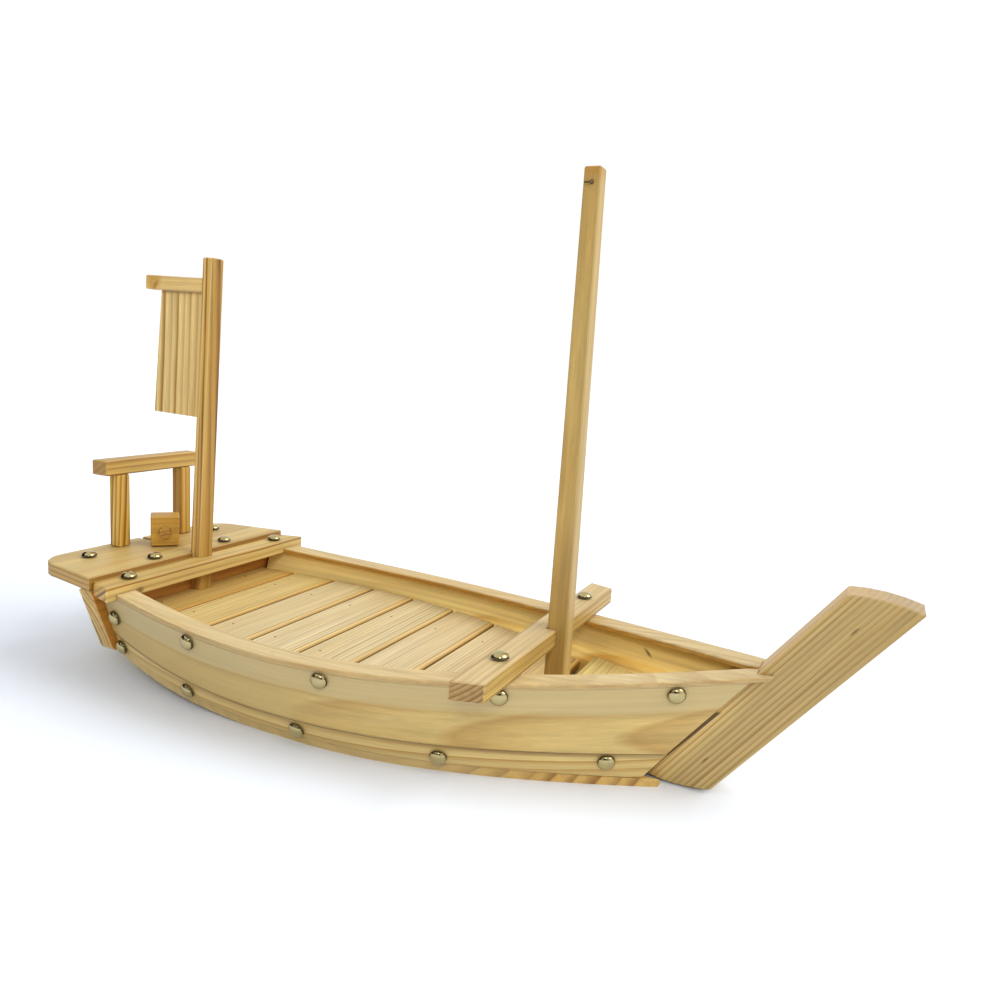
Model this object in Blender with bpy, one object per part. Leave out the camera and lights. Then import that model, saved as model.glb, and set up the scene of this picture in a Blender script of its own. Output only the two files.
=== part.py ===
"""A wooden sushi boat: a planked pine hull with a slatted floor, a mast and a small stern sail.

Metres, +Z up. The bow points to +X, port is +Y, and the flat bottom stands on z = 0.
"""
import math

import bmesh
import bpy
from mathutils import Matrix, Vector

MM = 0.001

# Clearances
SEAT_GAP = 0.3 * MM
SLIDE_GAP = 0.45 * MM
EDGE_ROUND = 0.8 * MM

# Length of the hull, from the transom to the foot of the stem
HULL_LENGTH = 384.3 * MM

# Stem
STEM_THICK = 24.0 * MM
STEM_AFT_X = 154.9 * MM
STEM_RUN = 40.4 * MM
STEM_HEIGHT = 139.3 * MM
STEM_RAKE = 0.745
STEM_LIFT = 1.2 * MM
STEM_CROWN = 2.1 * MM

# Sheer line: the outer top edge of the rails, from the transom to a point past the stem's aft face
BEAM_HALF = 114.2 * MM
BEAM_X = -79.0 * MM
STERN_HALF = 94.5 * MM
STERN_RUN_SLOPE = 0.185
BOW_REACH = 8.8 * MM
BOW_CHEEK = 1.8 * MM
BOW_ENTRY_SLOPE = 0.54
SHEER_LOW = 64.5 * MM
SHEER_LOW_X = -43.0 * MM
SHEER_STERN = 74.3 * MM
SHEER_STERN_SLOPE = 0.09
SHEER_BOW = 84.3 * MM
SHEER_BOW_SLOPE = 0.12

# Chine line: the outer bottom edge of the hull
CHINE_HALF = 89.6 * MM
CHINE_X = -55.0 * MM
CHINE_STERN_HALF = 78.6 * MM
CHINE_STERN_SLOPE = 0.22
CHINE_BOW_REACH = 5.1 * MM
CHINE_BOW_CHEEK = 11.2 * MM
CHINE_BOW_SLOPE = 0.516
ROCKER_START_X = -75.0 * MM
ROCKER_RISE = 20.9 * MM

# Planking
PLANK_THICK = 6.5 * MM
STRAKE_SHARE_STERN = 0.687
STRAKE_SHARE_BOW = 0.697
KNUCKLE = 4.0 * MM
STRAKE_STEP = 0.9 * MM
PLANK_GAP = 1.8 * MM
RAIL_THICK = 4.0 * MM
RAIL_WIDTH = 17.0 * MM
RAIL_LAP = 9.0 * MM
BOTTOM_THICK = 5.5 * MM
BOTTOM_LAP = 12.5 * MM
BOTTOM_FEATHER = 1.2 * MM
BOTTOM_FEATHER_SLOPE = 0.53
STATIONS = 28

# Transom, with its reach past the planks
TRANSOM_THICK = 12.0 * MM
TRANSOM_TOP_REACH = 8.0 * MM
TRANSOM_FOOT_REACH = 4.9 * MM
TRANSOM_FOOT_ROUND = 9.0 * MM

# Thwarts, with how far they stand above the rails and reach past them
STERN_THWART_WIDTH = 21.0 * MM
STERN_THWART_STAND = 4.9 * MM
STERN_THWART_THICK = 10.8 * MM
STERN_THWART_AFT_REACH = 5.5 * MM
STERN_THWART_FORE_REACH = 12.0 * MM
MAST_THWART_X = 79.1 * MM
MAST_THWART_WIDTH = 19.2 * MM
MAST_THWART_STAND = 12.7 * MM
MAST_THWART_THICK = 12.0 * MM
MAST_THWART_AFT_REACH = 33.9 * MM
MAST_THWART_FORE_REACH = 34.9 * MM

# Stern deck, a step above the stern thwart
DECK_STEP = 3.3 * MM
DECK_THICK = 10.0 * MM
DECK_LENGTH = 69.6 * MM
DECK_EAVE = 1.0 * MM
DECK_TAPER = 8.5 * MM
DECK_CORNER = 24.0 * MM
DECK_SLOT_WIDTH = 5.0 * MM
DECK_SLOT_LENGTH = 21.0 * MM
DECK_SLOT_Y = 4.0 * MM

# Floor
SLAT_COUNT = 8
SLAT_TRIM = 7.0 * MM
SLAT_TAPER = 0.66 * MM
SLAT_GAP = 2.0 * MM
SLAT_THICK = 6.0 * MM
SLAT_END_GAP = 0.8 * MM
FLOOR_MAST_BACK = 4.6 * MM
FLOOR_FORE_TOP = 38.4 * MM
FLOOR_SLOPE = 0.0455
BEARER_Y = 45.0 * MM
BEARER_THICK = 10.0 * MM
BEARER_AFT_BACK = 29.1 * MM
BEARER_FORE_BACK = 16.6 * MM
BOW_BOARD_TOP = 45.9 * MM
BOW_BOARD_BACK = 7.6 * MM
BOW_BOARD_TIP = 6.0 * MM

# Mast and sail rig
MAST_SET = 0.5 * MM
MAST_TOP = 371.8 * MM
MAST_FOOT_WIDTH = 14.3 * MM
MAST_HEAD_WIDTH = 10.7 * MM
MAST_RAKE = math.radians(-0.4)
RIG_SET = 3.2 * MM
RIG_TOP = 315.3 * MM
RIG_FOOT_WIDTH = 12.4 * MM
RIG_HEAD_WIDTH = 11.2 * MM
RIG_RAKE = math.radians(1.3)
RIG_LEAN = math.radians(1.5)
YARD_LENGTH = 60.5 * MM
YARD_HEIGHT = 11.0 * MM
YARD_THICK = 9.0 * MM
YARD_DROP = 15.5 * MM
SAIL_HEAD_WIDTH = 45.5 * MM
SAIL_FOOT_WIDTH = 49.0 * MM
SAIL_HEIGHT = 97.0 * MM
SAIL_THICK = 3.0 * MM

# Stern gate and swivel block, set in from the deck's aft edge
GATE_SET = 17.0 * MM
GATE_Y = 6.3 * MM
GATE_BAR_END = 16.75 * MM
GATE_POST_WIDTH = 11.0 * MM
GATE_POST_HEIGHT = 59.7 * MM
GATE_BAR_HEIGHT = 11.6 * MM
GATE_BAR_WIDTH = 16.4 * MM
GATE_BAR_LENGTH = 98.5 * MM
BLOCK_SET = 33.0 * MM
BLOCK_WIDTH = 22.0 * MM
BLOCK_HEIGHT = 24.0 * MM
BLOCK_TURN = math.radians(-43.0)
BLOCK_LIFT = 1.0 * MM
PIVOT_RADIUS = 4.0 * MM
PIVOT_DEPTH = 7.0 * MM
PEG_RADIUS = 4.5 * MM
PEG_HEIGHT = 12.5 * MM
PEG_OUT = 4.0 * MM
PEG_BURY = 14.0 * MM

# Domed nails: shares run along the hull from the transom, and down it from the sheer
NAIL_RADIUS = 5.0 * MM
NAIL_DOME = 2.8 * MM
SHANK_RADIUS = 1.0 * MM
SHANK_LENGTH = 4.5 * MM
NAIL_SIDES = 14
UPPER_NAIL_SHARES = (0.2186, 0.4489, 0.6828, 0.8892)
UPPER_NAIL_DOWN = 8.4 * MM
STERN_NAIL_SET = 13.1 * MM
STERN_NAIL_DOWN = 20.0 * MM
LOWER_NAIL_SHARES = (0.02, 0.1846, 0.3931, 0.5994, 0.8079)
LOWER_NAIL_DOWN_SHARES = (0.84, 0.825, 0.805, 0.82, 0.755)
MAST_THWART_NAIL_SET = 45.0 * MM
STERN_THWART_NAIL_FORE = 11.6 * MM
STERN_THWART_NAIL_SET = 21.0 * MM
DECK_AFT_NAIL_FORE = 23.0 * MM
DECK_AFT_NAIL_SET = 30.0 * MM
DECK_FORE_NAIL_BACK = 7.6 * MM
DECK_FORE_NAIL_SET = 66.0 * MM

# Ends of the hull's lines
TRANSOM_FACE_X = STEM_AFT_X - HULL_LENGTH
HULL_AFT_X = TRANSOM_FACE_X + SEAT_GAP
PLANK_LAP = -SEAT_GAP
BOW_X = STEM_AFT_X + STEM_RAKE * SHEER_BOW + BOW_REACH
BOW_HALF = STEM_THICK / 2 + BOW_CHEEK
CHINE_BOW_X = STEM_AFT_X + CHINE_BOW_REACH
CHINE_BOW_HALF = STEM_THICK / 2 + CHINE_BOW_CHEEK


def hermite(x, x0, y0, slope0, x1, y1, slope1):
    """A cubic between two points with given slopes."""
    run = x1 - x0
    t = (x - x0) / run
    start = (1 + 2 * t) * (1 - t) ** 2 * y0 + t * (1 - t) ** 2 * run * slope0
    end = t * t * (3 - 2 * t) * y1 + t * t * (t - 1) * run * slope1
    return start + end


def hump(x, aft, peak, fore):
    """Two cubics that meet level at a peak; each end is (x, value, slope)."""
    if x < peak[0]:
        return hermite(x, aft[0], aft[1], aft[2], peak[0], peak[1], 0.0)
    return hermite(x, peak[0], peak[1], 0.0, fore[0], fore[1], fore[2])


def sheer(x):
    """Point on the starboard-to-port mirrored sheer line, on the port side."""
    half = hump(x, (HULL_AFT_X, STERN_HALF, STERN_RUN_SLOPE), (BEAM_X, BEAM_HALF),
                (BOW_X, BOW_HALF, -BOW_ENTRY_SLOPE))
    height = hump(x, (HULL_AFT_X, SHEER_STERN, -SHEER_STERN_SLOPE), (SHEER_LOW_X, SHEER_LOW),
                  (BOW_X, SHEER_BOW, SHEER_BOW_SLOPE))
    return Vector((x, half, height))


# Places that follow from the hull
TRANSOM_TOP_HALF = STERN_HALF + TRANSOM_TOP_REACH
TRANSOM_FOOT_HALF = CHINE_STERN_HALF + TRANSOM_FOOT_REACH
STERN_THWART_AFT_X = TRANSOM_FACE_X + SEAT_GAP
STERN_THWART_FORE_X = STERN_THWART_AFT_X + STERN_THWART_WIDTH
STERN_THWART_TOP = SHEER_STERN + STERN_THWART_STAND
STERN_THWART_AFT_HALF = STERN_HALF + STERN_THWART_AFT_REACH
STERN_THWART_FORE_HALF = STERN_HALF + STERN_THWART_FORE_REACH
MAST_THWART_AFT_X = MAST_THWART_X - MAST_THWART_WIDTH / 2
MAST_THWART_FORE_X = MAST_THWART_X + MAST_THWART_WIDTH / 2
MAST_THWART_TOP = sheer(MAST_THWART_X).z + MAST_THWART_STAND
MAST_THWART_AFT_HALF = sheer(MAST_THWART_AFT_X).y + MAST_THWART_AFT_REACH
MAST_THWART_FORE_HALF = sheer(MAST_THWART_FORE_X).y + MAST_THWART_FORE_REACH
DECK_TOP = STERN_THWART_TOP + DECK_STEP
DECK_BOTTOM = DECK_TOP - DECK_THICK
DECK_AFT_X = TRANSOM_FACE_X - DECK_LENGTH
DECK_FORE_HALF = TRANSOM_TOP_HALF + DECK_EAVE
DECK_AFT_HALF = DECK_FORE_HALF - DECK_TAPER
MAST_X = MAST_THWART_FORE_X + MAST_SET
RIG_X = TRANSOM_FACE_X + RIG_SET
RIG_PIVOT_Z = STERN_THWART_TOP - STERN_THWART_THICK / 2
FLOOR_FORE_X = MAST_X - FLOOR_MAST_BACK
SLAT_PITCH = (FLOOR_FORE_X - HULL_AFT_X + SLAT_TRIM) / SLAT_COUNT
BEARER_AFT_X = HULL_AFT_X + BEARER_AFT_BACK
BEARER_FORE_X = FLOOR_FORE_X - BEARER_FORE_BACK
GATE_FACE_X = DECK_AFT_X + GATE_SET
GATE_BAR_BOTTOM = DECK_TOP + GATE_POST_HEIGHT
GATE_SPAN = GATE_BAR_LENGTH - 2 * GATE_BAR_END
BLOCK_X = DECK_AFT_X + BLOCK_SET


def rocker(x):
    """Height of the underside of the hull, flat but for its rise to the stern."""
    back = max(0.0, (ROCKER_START_X - x) / (ROCKER_START_X - HULL_AFT_X))
    return ROCKER_RISE * back * back


def chine(x):
    """Point on the chine line, on the port side."""
    half = hump(x, (HULL_AFT_X, CHINE_STERN_HALF, CHINE_STERN_SLOPE), (CHINE_X, CHINE_HALF),
                (CHINE_BOW_X, CHINE_BOW_HALF, -CHINE_BOW_SLOPE))
    return Vector((x, half, rocker(x)))


def stem_aft(z):
    """X of the stem's raked aft face at a height."""
    return STEM_AFT_X + STEM_RAKE * z


def strake_joint(s):
    """Share of the height where the two strakes meet."""
    return STRAKE_SHARE_STERN + s * (STRAKE_SHARE_BOW - STRAKE_SHARE_STERN)


def knuckle(s, share):
    """How far the side stands out from a flat one; it is fullest where the strakes meet amidships."""
    joint = strake_joint(s)
    near = share / joint if share < joint else (1 - share) / (1 - joint)
    return KNUCKLE * 4 * s * (1 - s) * near


def side_point(s, share, lap):
    """Point on the outer face of the port planking: s runs aft to fore, share from top to bottom."""
    sheer_end = stem_aft(SHEER_BOW) + lap
    chine_end = stem_aft(0.0) + lap
    top = sheer(HULL_AFT_X + s * (sheer_end - HULL_AFT_X))
    foot = chine(HULL_AFT_X + s * (chine_end - HULL_AFT_X))
    point = top.lerp(foot, share)
    point.y += knuckle(s, share)
    return point


def side_normal(s, share, lap):
    """Unit normal of the port planking, pointing out."""
    step = 0.002
    along = side_point(s + step, share, lap) - side_point(s - step, share, lap)
    down = side_point(s, share + step, lap) - side_point(s, share - step, lap)
    normal = along.cross(down).normalized()
    return normal if normal.y > 0 else -normal


def side_depth(s, lap):
    """Height of the planking from sheer to chine."""
    return side_point(s, 0.0, lap).z - side_point(s, 1.0, lap).z


def side_at(x, z):
    """The planking's s and share at a place given by x and height."""
    s, share = 0.5, 0.5
    for _ in range(40):
        top = side_point(s, 0.0, PLANK_LAP)
        foot = side_point(s, 1.0, PLANK_LAP)
        share = (top.z - z) / (top.z - foot.z)
        s = s + (x - side_point(s, share, PLANK_LAP).x) / (BOW_X - HULL_AFT_X)
    return s, share


def inner_half(x, z):
    """Half breadth inside the planking at a place."""
    s, share = side_at(x, z)
    wall = PLANK_THICK + STRAKE_STEP
    return side_point(s, share, PLANK_LAP).y - wall / side_normal(s, share, PLANK_LAP).y


def floor_top(x):
    """Height of the slatted floor, which rises to the stern."""
    return FLOOR_FORE_TOP + FLOOR_SLOPE * (FLOOR_FORE_X - x)


def material(name, colour, roughness, metallic=0.0):
    made = bpy.data.materials.new(name)
    made.use_nodes = True
    shader = made.node_tree.nodes["Principled BSDF"]
    shader.inputs["Base Color"].default_value = (*colour, 1.0)
    shader.inputs["Roughness"].default_value = roughness
    shader.inputs["Metallic"].default_value = metallic
    return made


def add(name, mesh_data, finish):
    """Put a bmesh into the scene as a named object, with its faces pointing out."""
    bmesh.ops.recalc_face_normals(mesh_data, faces=mesh_data.faces)
    mesh = bpy.data.meshes.new(name)
    mesh_data.to_mesh(mesh)
    mesh_data.free()
    mesh.materials.append(finish)
    piece = bpy.data.objects.new(name, mesh)
    bpy.context.collection.objects.link(piece)
    return piece


def loft(rings):
    """A closed solid through rings of matching points, with flat ends."""
    shape = bmesh.new()
    rows = [[shape.verts.new(point) for point in ring] for ring in rings]
    count = len(rings[0])
    for low, high in zip(rows, rows[1:]):
        for k in range(count):
            after = (k + 1) % count
            shape.faces.new((low[k], low[after], high[after], high[k]))
    shape.faces.new(rows[0])
    shape.faces.new(list(reversed(rows[-1])))
    return shape


def soften(shape, width):
    """Chamfer every sharp edge of a solid."""
    bmesh.ops.recalc_face_normals(shape, faces=shape.faces)
    sharp = [edge for edge in shape.edges if edge.calc_face_angle() > math.radians(30)]
    bmesh.ops.bevel(shape, geom=sharp, offset=width, segments=1, affect="EDGES", profile=0.5)
    return shape


def block(low, high):
    """A box between two corners."""
    shape = bmesh.new()
    bmesh.ops.create_cube(shape, size=1.0)
    size = [b - a for a, b in zip(low, high)]
    middle = [(a + b) / 2 for a, b in zip(low, high)]
    bmesh.ops.scale(shape, vec=size, verts=shape.verts)
    bmesh.ops.translate(shape, vec=middle, verts=shape.verts)
    return shape


def slab(outline, bottom, top):
    """An outline in plan between two heights, each a function of x."""
    low = [(x, y, bottom(x)) for x, y in outline]
    high = [(x, y, top(x)) for x, y in outline]
    return loft([low, high])


def rod(radius, start, end, sides):
    """A cylinder along Z."""
    rings = []
    for z in (start, end):
        turn = [2 * math.pi * k / sides for k in range(sides)]
        rings.append([(radius * math.cos(a), radius * math.sin(a), z) for a in turn])
    return loft(rings)


def carve(piece, cutter):
    """Cut one solid out of another, and drop the cutter."""
    cut = piece.modifiers.new("cut", "BOOLEAN")
    cut.operation = "DIFFERENCE"
    cut.solver = "EXACT"
    cut.object = cutter
    bpy.context.view_layer.update()
    result = piece.evaluated_get(bpy.context.evaluated_depsgraph_get())
    mesh = bpy.data.meshes.new_from_object(result)
    piece.modifiers.clear()
    old = piece.data
    piece.data = mesh
    bpy.data.meshes.remove(old)
    bpy.data.objects.remove(cutter)


def cutter(shape, place=None):
    """A hidden solid to cut with."""
    tool = add("cutter", shape, PINE)
    tool.hide_render = True
    tool.display_type = "WIRE"
    if place is not None:
        tool.matrix_world = place
    return tool


def mirrored(point, side):
    return Vector((point.x, side * point.y, point.z))


# The scene starts empty.
for old_object in list(bpy.data.objects):
    bpy.data.objects.remove(old_object)

PINE = material("pine", (0.83, 0.64, 0.36), 0.5)
PINE_SHADE = material("pine_shade", (0.74, 0.52, 0.25), 0.5)
BRASS = material("brass", (0.80, 0.66, 0.36), 0.25, 1.0)


# Stem: one thick raked board with slightly crowned ends.
def stem_outline(grow):
    """Profile in X and Z; a cutter's is grown on all sides and reaches below the bottom."""
    foot = -grow if grow else STEM_LIFT
    head = STEM_HEIGHT + grow
    run = grow * math.hypot(1.0, STEM_RAKE)
    corner = STEM_CROWN if grow == 0.0 else 0.0
    points = []
    steps = 4
    for k in range(steps + 1):
        u = k / steps
        z = foot + corner * (1 - 4 * u * (1 - u))
        points.append((stem_aft(z) - run + u * (STEM_RUN + 2 * run), z))
    for k in range(steps + 1):
        u = 1 - k / steps
        x = stem_aft(head) - run + u * (STEM_RUN + 2 * run)
        points.append((x, head + STEM_CROWN * (4 * u * (1 - u)) - 2 * STEM_CROWN * u))
    return points


def stem_solid(grow):
    half = STEM_THICK / 2 + grow
    near = [(x, -half, z) for x, z in stem_outline(grow)]
    far = [(x, half, z) for x, z in stem_outline(grow)]
    return loft([near, far])


stem = add("stem", soften(stem_solid(0.0), EDGE_ROUND), PINE)


# Transom: an upright board with sloping sides and round lower corners.
def transom_outline():
    foot = rocker(HULL_AFT_X)
    head = DECK_BOTTOM - SEAT_GAP
    corner = []
    lean = math.atan2(TRANSOM_TOP_HALF - TRANSOM_FOOT_HALF, head - foot)
    centre_y = TRANSOM_FOOT_HALF - TRANSOM_FOOT_ROUND * math.tan(math.pi / 4 - lean / 2)
    centre = (centre_y, foot + TRANSOM_FOOT_ROUND)
    for k in range(5):
        angle = -math.pi / 2 + (math.pi / 2 - lean) * k / 4
        corner.append((centre[0] + TRANSOM_FOOT_ROUND * math.cos(angle),
                       centre[1] + TRANSOM_FOOT_ROUND * math.sin(angle)))
    port = corner + [(TRANSOM_TOP_HALF, head)]
    return [(-y, z) for y, z in port] + [(y, z) for y, z in reversed(port)]


transom_shape = loft([[(x, y, z) for y, z in transom_outline()]
                      for x in (TRANSOM_FACE_X - TRANSOM_THICK, TRANSOM_FACE_X)])
transom = add("transom", soften(transom_shape, EDGE_ROUND), PINE_SHADE)


# Bottom: one panel that follows the chine, rises to the stern and is forked round the stem's foot.
def bottom_outline():
    end = stem_aft(0.0) + BOTTOM_LAP
    stops = [HULL_AFT_X + (end - HULL_AFT_X) * k / STATIONS for k in range(STATIONS + 1)]
    port = [(x, chine(x).y) for x in stops]
    return port


bottom_rings = []
for station_x, station_half in bottom_outline():
    under = rocker(station_x)
    bottom_rings.append([(station_x, -station_half, under), (station_x, station_half, under),
                         (station_x, station_half, under + BOTTOM_THICK),
                         (station_x, -station_half, under + BOTTOM_THICK)])
bottom = add("bottom_panel", loft(bottom_rings), PINE_SHADE)
carve(bottom, cutter(stem_solid(SEAT_GAP)))


def feather_solid():
    """What is planed off the fork, down to the stem's foot on both sides."""
    near = STEM_THICK / 2
    far = 2 * STEM_THICK
    head = BOTTOM_FEATHER + BOTTOM_FEATHER_SLOPE * (far - near)
    section = [(-far, head), (-near, BOTTOM_FEATHER), (near, BOTTOM_FEATHER), (far, head)]
    ends = (stem_aft(0.0) + PLANK_LAP, stem_aft(0.0) + STEM_RUN)
    return loft([[(x, y, z) for y, z in section] for x in ends])


carve(bottom, cutter(feather_solid()))


# Planks and rails, one of each on either side.
def wall_point(s, share, lap, depth):
    """A point inside the planking, level with the outer face at the same share."""
    outer = side_point(s, share, lap)
    place = outer - depth * side_normal(s, share, lap)
    ruling = side_point(s, 1.0, lap) - side_point(s, 0.0, lap)
    return place + ruling * (outer.z - place.z) / ruling.z


def plank_rings(side, share_top, share_foot, inset, lap_top, lap_foot):
    """Sections of a plank with level edges; the shares are functions of s."""
    rings = []
    for k in range(STATIONS + 1):
        s = k / STATIONS
        outer, inner = inset, inset + PLANK_THICK
        corners = ((share_top(s), lap_top, outer), (share_foot(s), lap_foot, outer),
                   (share_foot(s), lap_foot, inner), (share_top(s), lap_top, inner))
        rings.append([mirrored(wall_point(s, *corner), side) for corner in corners])
    return rings


def rail_rings(side, grow, drop):
    """Sections of a rail; a cutter for it is wider by grow, deeper by drop and one section longer."""
    rings = []
    for k in range(-1 if grow else 0, STATIONS + 1):
        s = k / STATIONS
        outer = side_point(s, 0.0, RAIL_LAP)
        under = side_point(s, (RAIL_THICK + drop) / side_depth(s, RAIL_LAP), RAIL_LAP)
        facing = side_normal(s, 0.0, RAIL_LAP)
        inner = outer.y - RAIL_WIDTH * math.hypot(facing.x, facing.y) / facing.y
        ring = [Vector((outer.x, outer.y + grow, outer.z + grow)),
                Vector((under.x, under.y + grow, under.z)),
                Vector((under.x, max(inner - grow, SEAT_GAP), under.z)),
                Vector((outer.x, max(inner - grow, SEAT_GAP), outer.z + grow))]
        rings.append([mirrored(point, side) for point in ring])
    return rings


planks = {}
rails = {}
for label, side in (("starboard", -1), ("port", 1)):
    upper = loft(plank_rings(side, lambda s: RAIL_THICK / 2 / side_depth(s, PLANK_LAP),
                             strake_joint, 0.0, PLANK_LAP, -PLANK_GAP))
    lower = loft(plank_rings(side, lambda s: strake_joint(s) + SEAT_GAP / side_depth(s, PLANK_LAP),
                             lambda s: 1 - (BOTTOM_THICK + SEAT_GAP) / side_depth(s, PLANK_LAP),
                             STRAKE_STEP, PLANK_LAP, PLANK_LAP))
    planks["upper", label] = add("upper_plank_" + label, soften(upper, EDGE_ROUND), PINE)
    planks["lower", label] = add("lower_plank_" + label, soften(lower, EDGE_ROUND), PINE)
    rail = soften(loft(rail_rings(side, 0.0, 0.0)), EDGE_ROUND)
    rails[label] = add("rail_" + label, rail, PINE)
    carve(planks["upper", label], cutter(loft(rail_rings(side, RAIL_THICK, SEAT_GAP))))
    for timber in (planks["upper", label], planks["lower", label], rails[label]):
        carve(timber, cutter(stem_solid(SEAT_GAP)))


# Thwarts: cross boards notched over the rails, with their ends cut to follow the side.
def thwart(name, aft, fore, aft_half, fore_half, top, thick):
    outline = [(aft, -aft_half), (fore, -fore_half), (fore, fore_half), (aft, aft_half)]
    shape = slab(outline, lambda x: top - thick, lambda x: top)
    board = add(name, soften(shape, EDGE_ROUND), PINE)
    for side in (-1, 1):
        carve(board, cutter(loft(rail_rings(side, SEAT_GAP, thick))))
    return board


stern_thwart = thwart("stern_thwart", STERN_THWART_AFT_X, STERN_THWART_FORE_X,
                      STERN_THWART_AFT_HALF, STERN_THWART_FORE_HALF, STERN_THWART_TOP,
                      STERN_THWART_THICK)
mast_thwart = thwart("mast_thwart", MAST_THWART_AFT_X, MAST_THWART_FORE_X, MAST_THWART_AFT_HALF,
                     MAST_THWART_FORE_HALF, MAST_THWART_TOP, MAST_THWART_THICK)


# Stern deck: a cross-grained board with round aft corners and a rudder slot.
def deck_outline():
    fore = TRANSOM_FACE_X
    port = []
    for k in range(7):
        angle = math.pi - (math.pi / 2) * k / 6
        port.append((DECK_AFT_X + DECK_CORNER + DECK_CORNER * math.cos(angle),
                     DECK_AFT_HALF - DECK_CORNER + DECK_CORNER * math.sin(angle)))
    port.append((fore, DECK_FORE_HALF))
    return port + [(x, -y) for x, y in reversed(port)]


deck_shape = slab(deck_outline(), lambda x: DECK_BOTTOM, lambda x: DECK_TOP)
deck = add("stern_deck", soften(deck_shape, EDGE_ROUND), PINE)
carve(deck, cutter(block((DECK_AFT_X - DECK_THICK, DECK_SLOT_Y - DECK_SLOT_WIDTH / 2, 0.0),
                         (DECK_AFT_X + DECK_SLOT_LENGTH, DECK_SLOT_Y + DECK_SLOT_WIDTH / 2,
                          DECK_TOP + DECK_THICK))))


# Floor: slats across the hull on two bearers, and a board wedged between the planks in the bow.
def floor_board(name, aft, fore, top):
    """A board whose ends follow the planking; its top is a function of x."""
    stops = [aft + (fore - aft) * k / 4 for k in range(5)]
    port = [(x, inner_half(x, top(x) - SLAT_THICK) - SLAT_END_GAP) for x in stops]
    outline = port + [(x, -y) for x, y in reversed(port)]
    shape = slab(outline, lambda x: top(x) - SLAT_THICK, top)
    return add(name, soften(shape, EDGE_ROUND), PINE)


slats = []
slat_fore = FLOOR_FORE_X
for number in range(SLAT_COUNT, 0, -1):
    pitch = SLAT_PITCH + SLAT_TAPER * (number - (SLAT_COUNT + 1) / 2)
    slat_aft = max(slat_fore - pitch + SLAT_GAP, HULL_AFT_X)
    slats.insert(0, floor_board(f"floor_slat_{number}", slat_aft, slat_fore, floor_top))
    slat_fore -= pitch
bow_board = floor_board("bow_board", MAST_X + BOW_BOARD_BACK, stem_aft(BOW_BOARD_TOP) - BOW_BOARD_TIP,
                        lambda x: BOW_BOARD_TOP)

bearers = []
for label, side in (("starboard", -1), ("port", 1)):
    stops = [BEARER_AFT_X + (BEARER_FORE_X - BEARER_AFT_X) * k / 10 for k in range(11)]
    rings = []
    for x in stops:
        foot = rocker(x) + BOTTOM_THICK + SEAT_GAP
        head = floor_top(x) - SLAT_THICK - SEAT_GAP
        near = side * BEARER_Y - BEARER_THICK / 2
        far = side * BEARER_Y + BEARER_THICK / 2
        rings.append([(x, near, foot), (x, far, foot), (x, far, head), (x, near, head)])
    bearers.append(add("floor_bearer_" + label, loft(rings), PINE_SHADE))


# Mast: a square, tapered pole in the notch of its thwart, standing on the bottom.
def pole(foot, head, foot_width, head_width):
    rings = []
    for z, half in ((foot, foot_width / 2), (head, head_width / 2)):
        rings.append([(-half, -half, z), (half, -half, z), (half, half, z), (-half, half, z)])
    return loft(rings)


def notch(foot, head, width):
    """A straight cutter that a pole's foot lifts out through."""
    wide = width + 2 * SLIDE_GAP
    return pole(foot, head, wide, wide)


mast_place = Matrix.Translation((MAST_X, 0.0, 0.0)) @ Matrix.Rotation(MAST_RAKE, 4, "Y")
mast_foot = BOTTOM_THICK + 2 * SEAT_GAP
mast_shape = pole(mast_foot, MAST_TOP, MAST_FOOT_WIDTH, MAST_HEAD_WIDTH)
add("mast", soften(mast_shape, EDGE_ROUND), PINE).matrix_world = mast_place
for timber in (mast_thwart, slats[-1], bow_board):
    carve(timber, cutter(notch(mast_foot, MAST_TOP, MAST_FOOT_WIDTH), mast_place))

# Sail rig: a leaning, tapered post in the notch of the stern thwart, with a yard and a board sail.
rig_place = (Matrix.Translation((RIG_X, 0.0, RIG_PIVOT_Z)) @ Matrix.Rotation(-RIG_LEAN, 4, "X")
             @ Matrix.Rotation(RIG_RAKE, 4, "Y"))
rig_head = RIG_TOP - RIG_PIVOT_Z
rig_foot = rocker(HULL_AFT_X) + BOTTOM_THICK + 2 * SEAT_GAP - RIG_PIVOT_Z
yard_head = rig_head - YARD_DROP
yard_foot = yard_head - YARD_HEIGHT
sail_head = yard_foot - SEAT_GAP
sail_foot = sail_head - SAIL_HEIGHT


def post_face(z):
    """X of the post's aft face at a height on it, with the gap that a piece keeps."""
    share = (z - rig_foot) / (rig_head - rig_foot)
    width = RIG_FOOT_WIDTH + share * (RIG_HEAD_WIDTH - RIG_FOOT_WIDTH)
    return -width / 2 - SEAT_GAP


def rig_board(foot, head, foot_reach, head_reach, thick):
    """A board that stands aft of the post."""
    rings = []
    for y in (-thick / 2, thick / 2):
        rings.append([(post_face(foot) - foot_reach, y, foot), (post_face(foot), y, foot),
                      (post_face(head), y, head), (post_face(head) - head_reach, y, head)])
    return loft(rings)


rig_pieces = (
    ("sail_post", soften(pole(rig_foot, rig_head, RIG_FOOT_WIDTH, RIG_HEAD_WIDTH), EDGE_ROUND)),
    ("yard", soften(rig_board(yard_foot, yard_head, YARD_LENGTH, YARD_LENGTH, YARD_THICK),
                    EDGE_ROUND)),
    ("sail_board", rig_board(sail_foot, sail_head, SAIL_FOOT_WIDTH, SAIL_HEAD_WIDTH, SAIL_THICK)),
)
for name, shape in rig_pieces:
    add(name, shape, PINE_SHADE).matrix_world = rig_place
for timber in (stern_thwart, slats[0], deck, transom):
    carve(timber, cutter(notch(rig_foot, rig_head, RIG_FOOT_WIDTH), rig_place))

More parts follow.
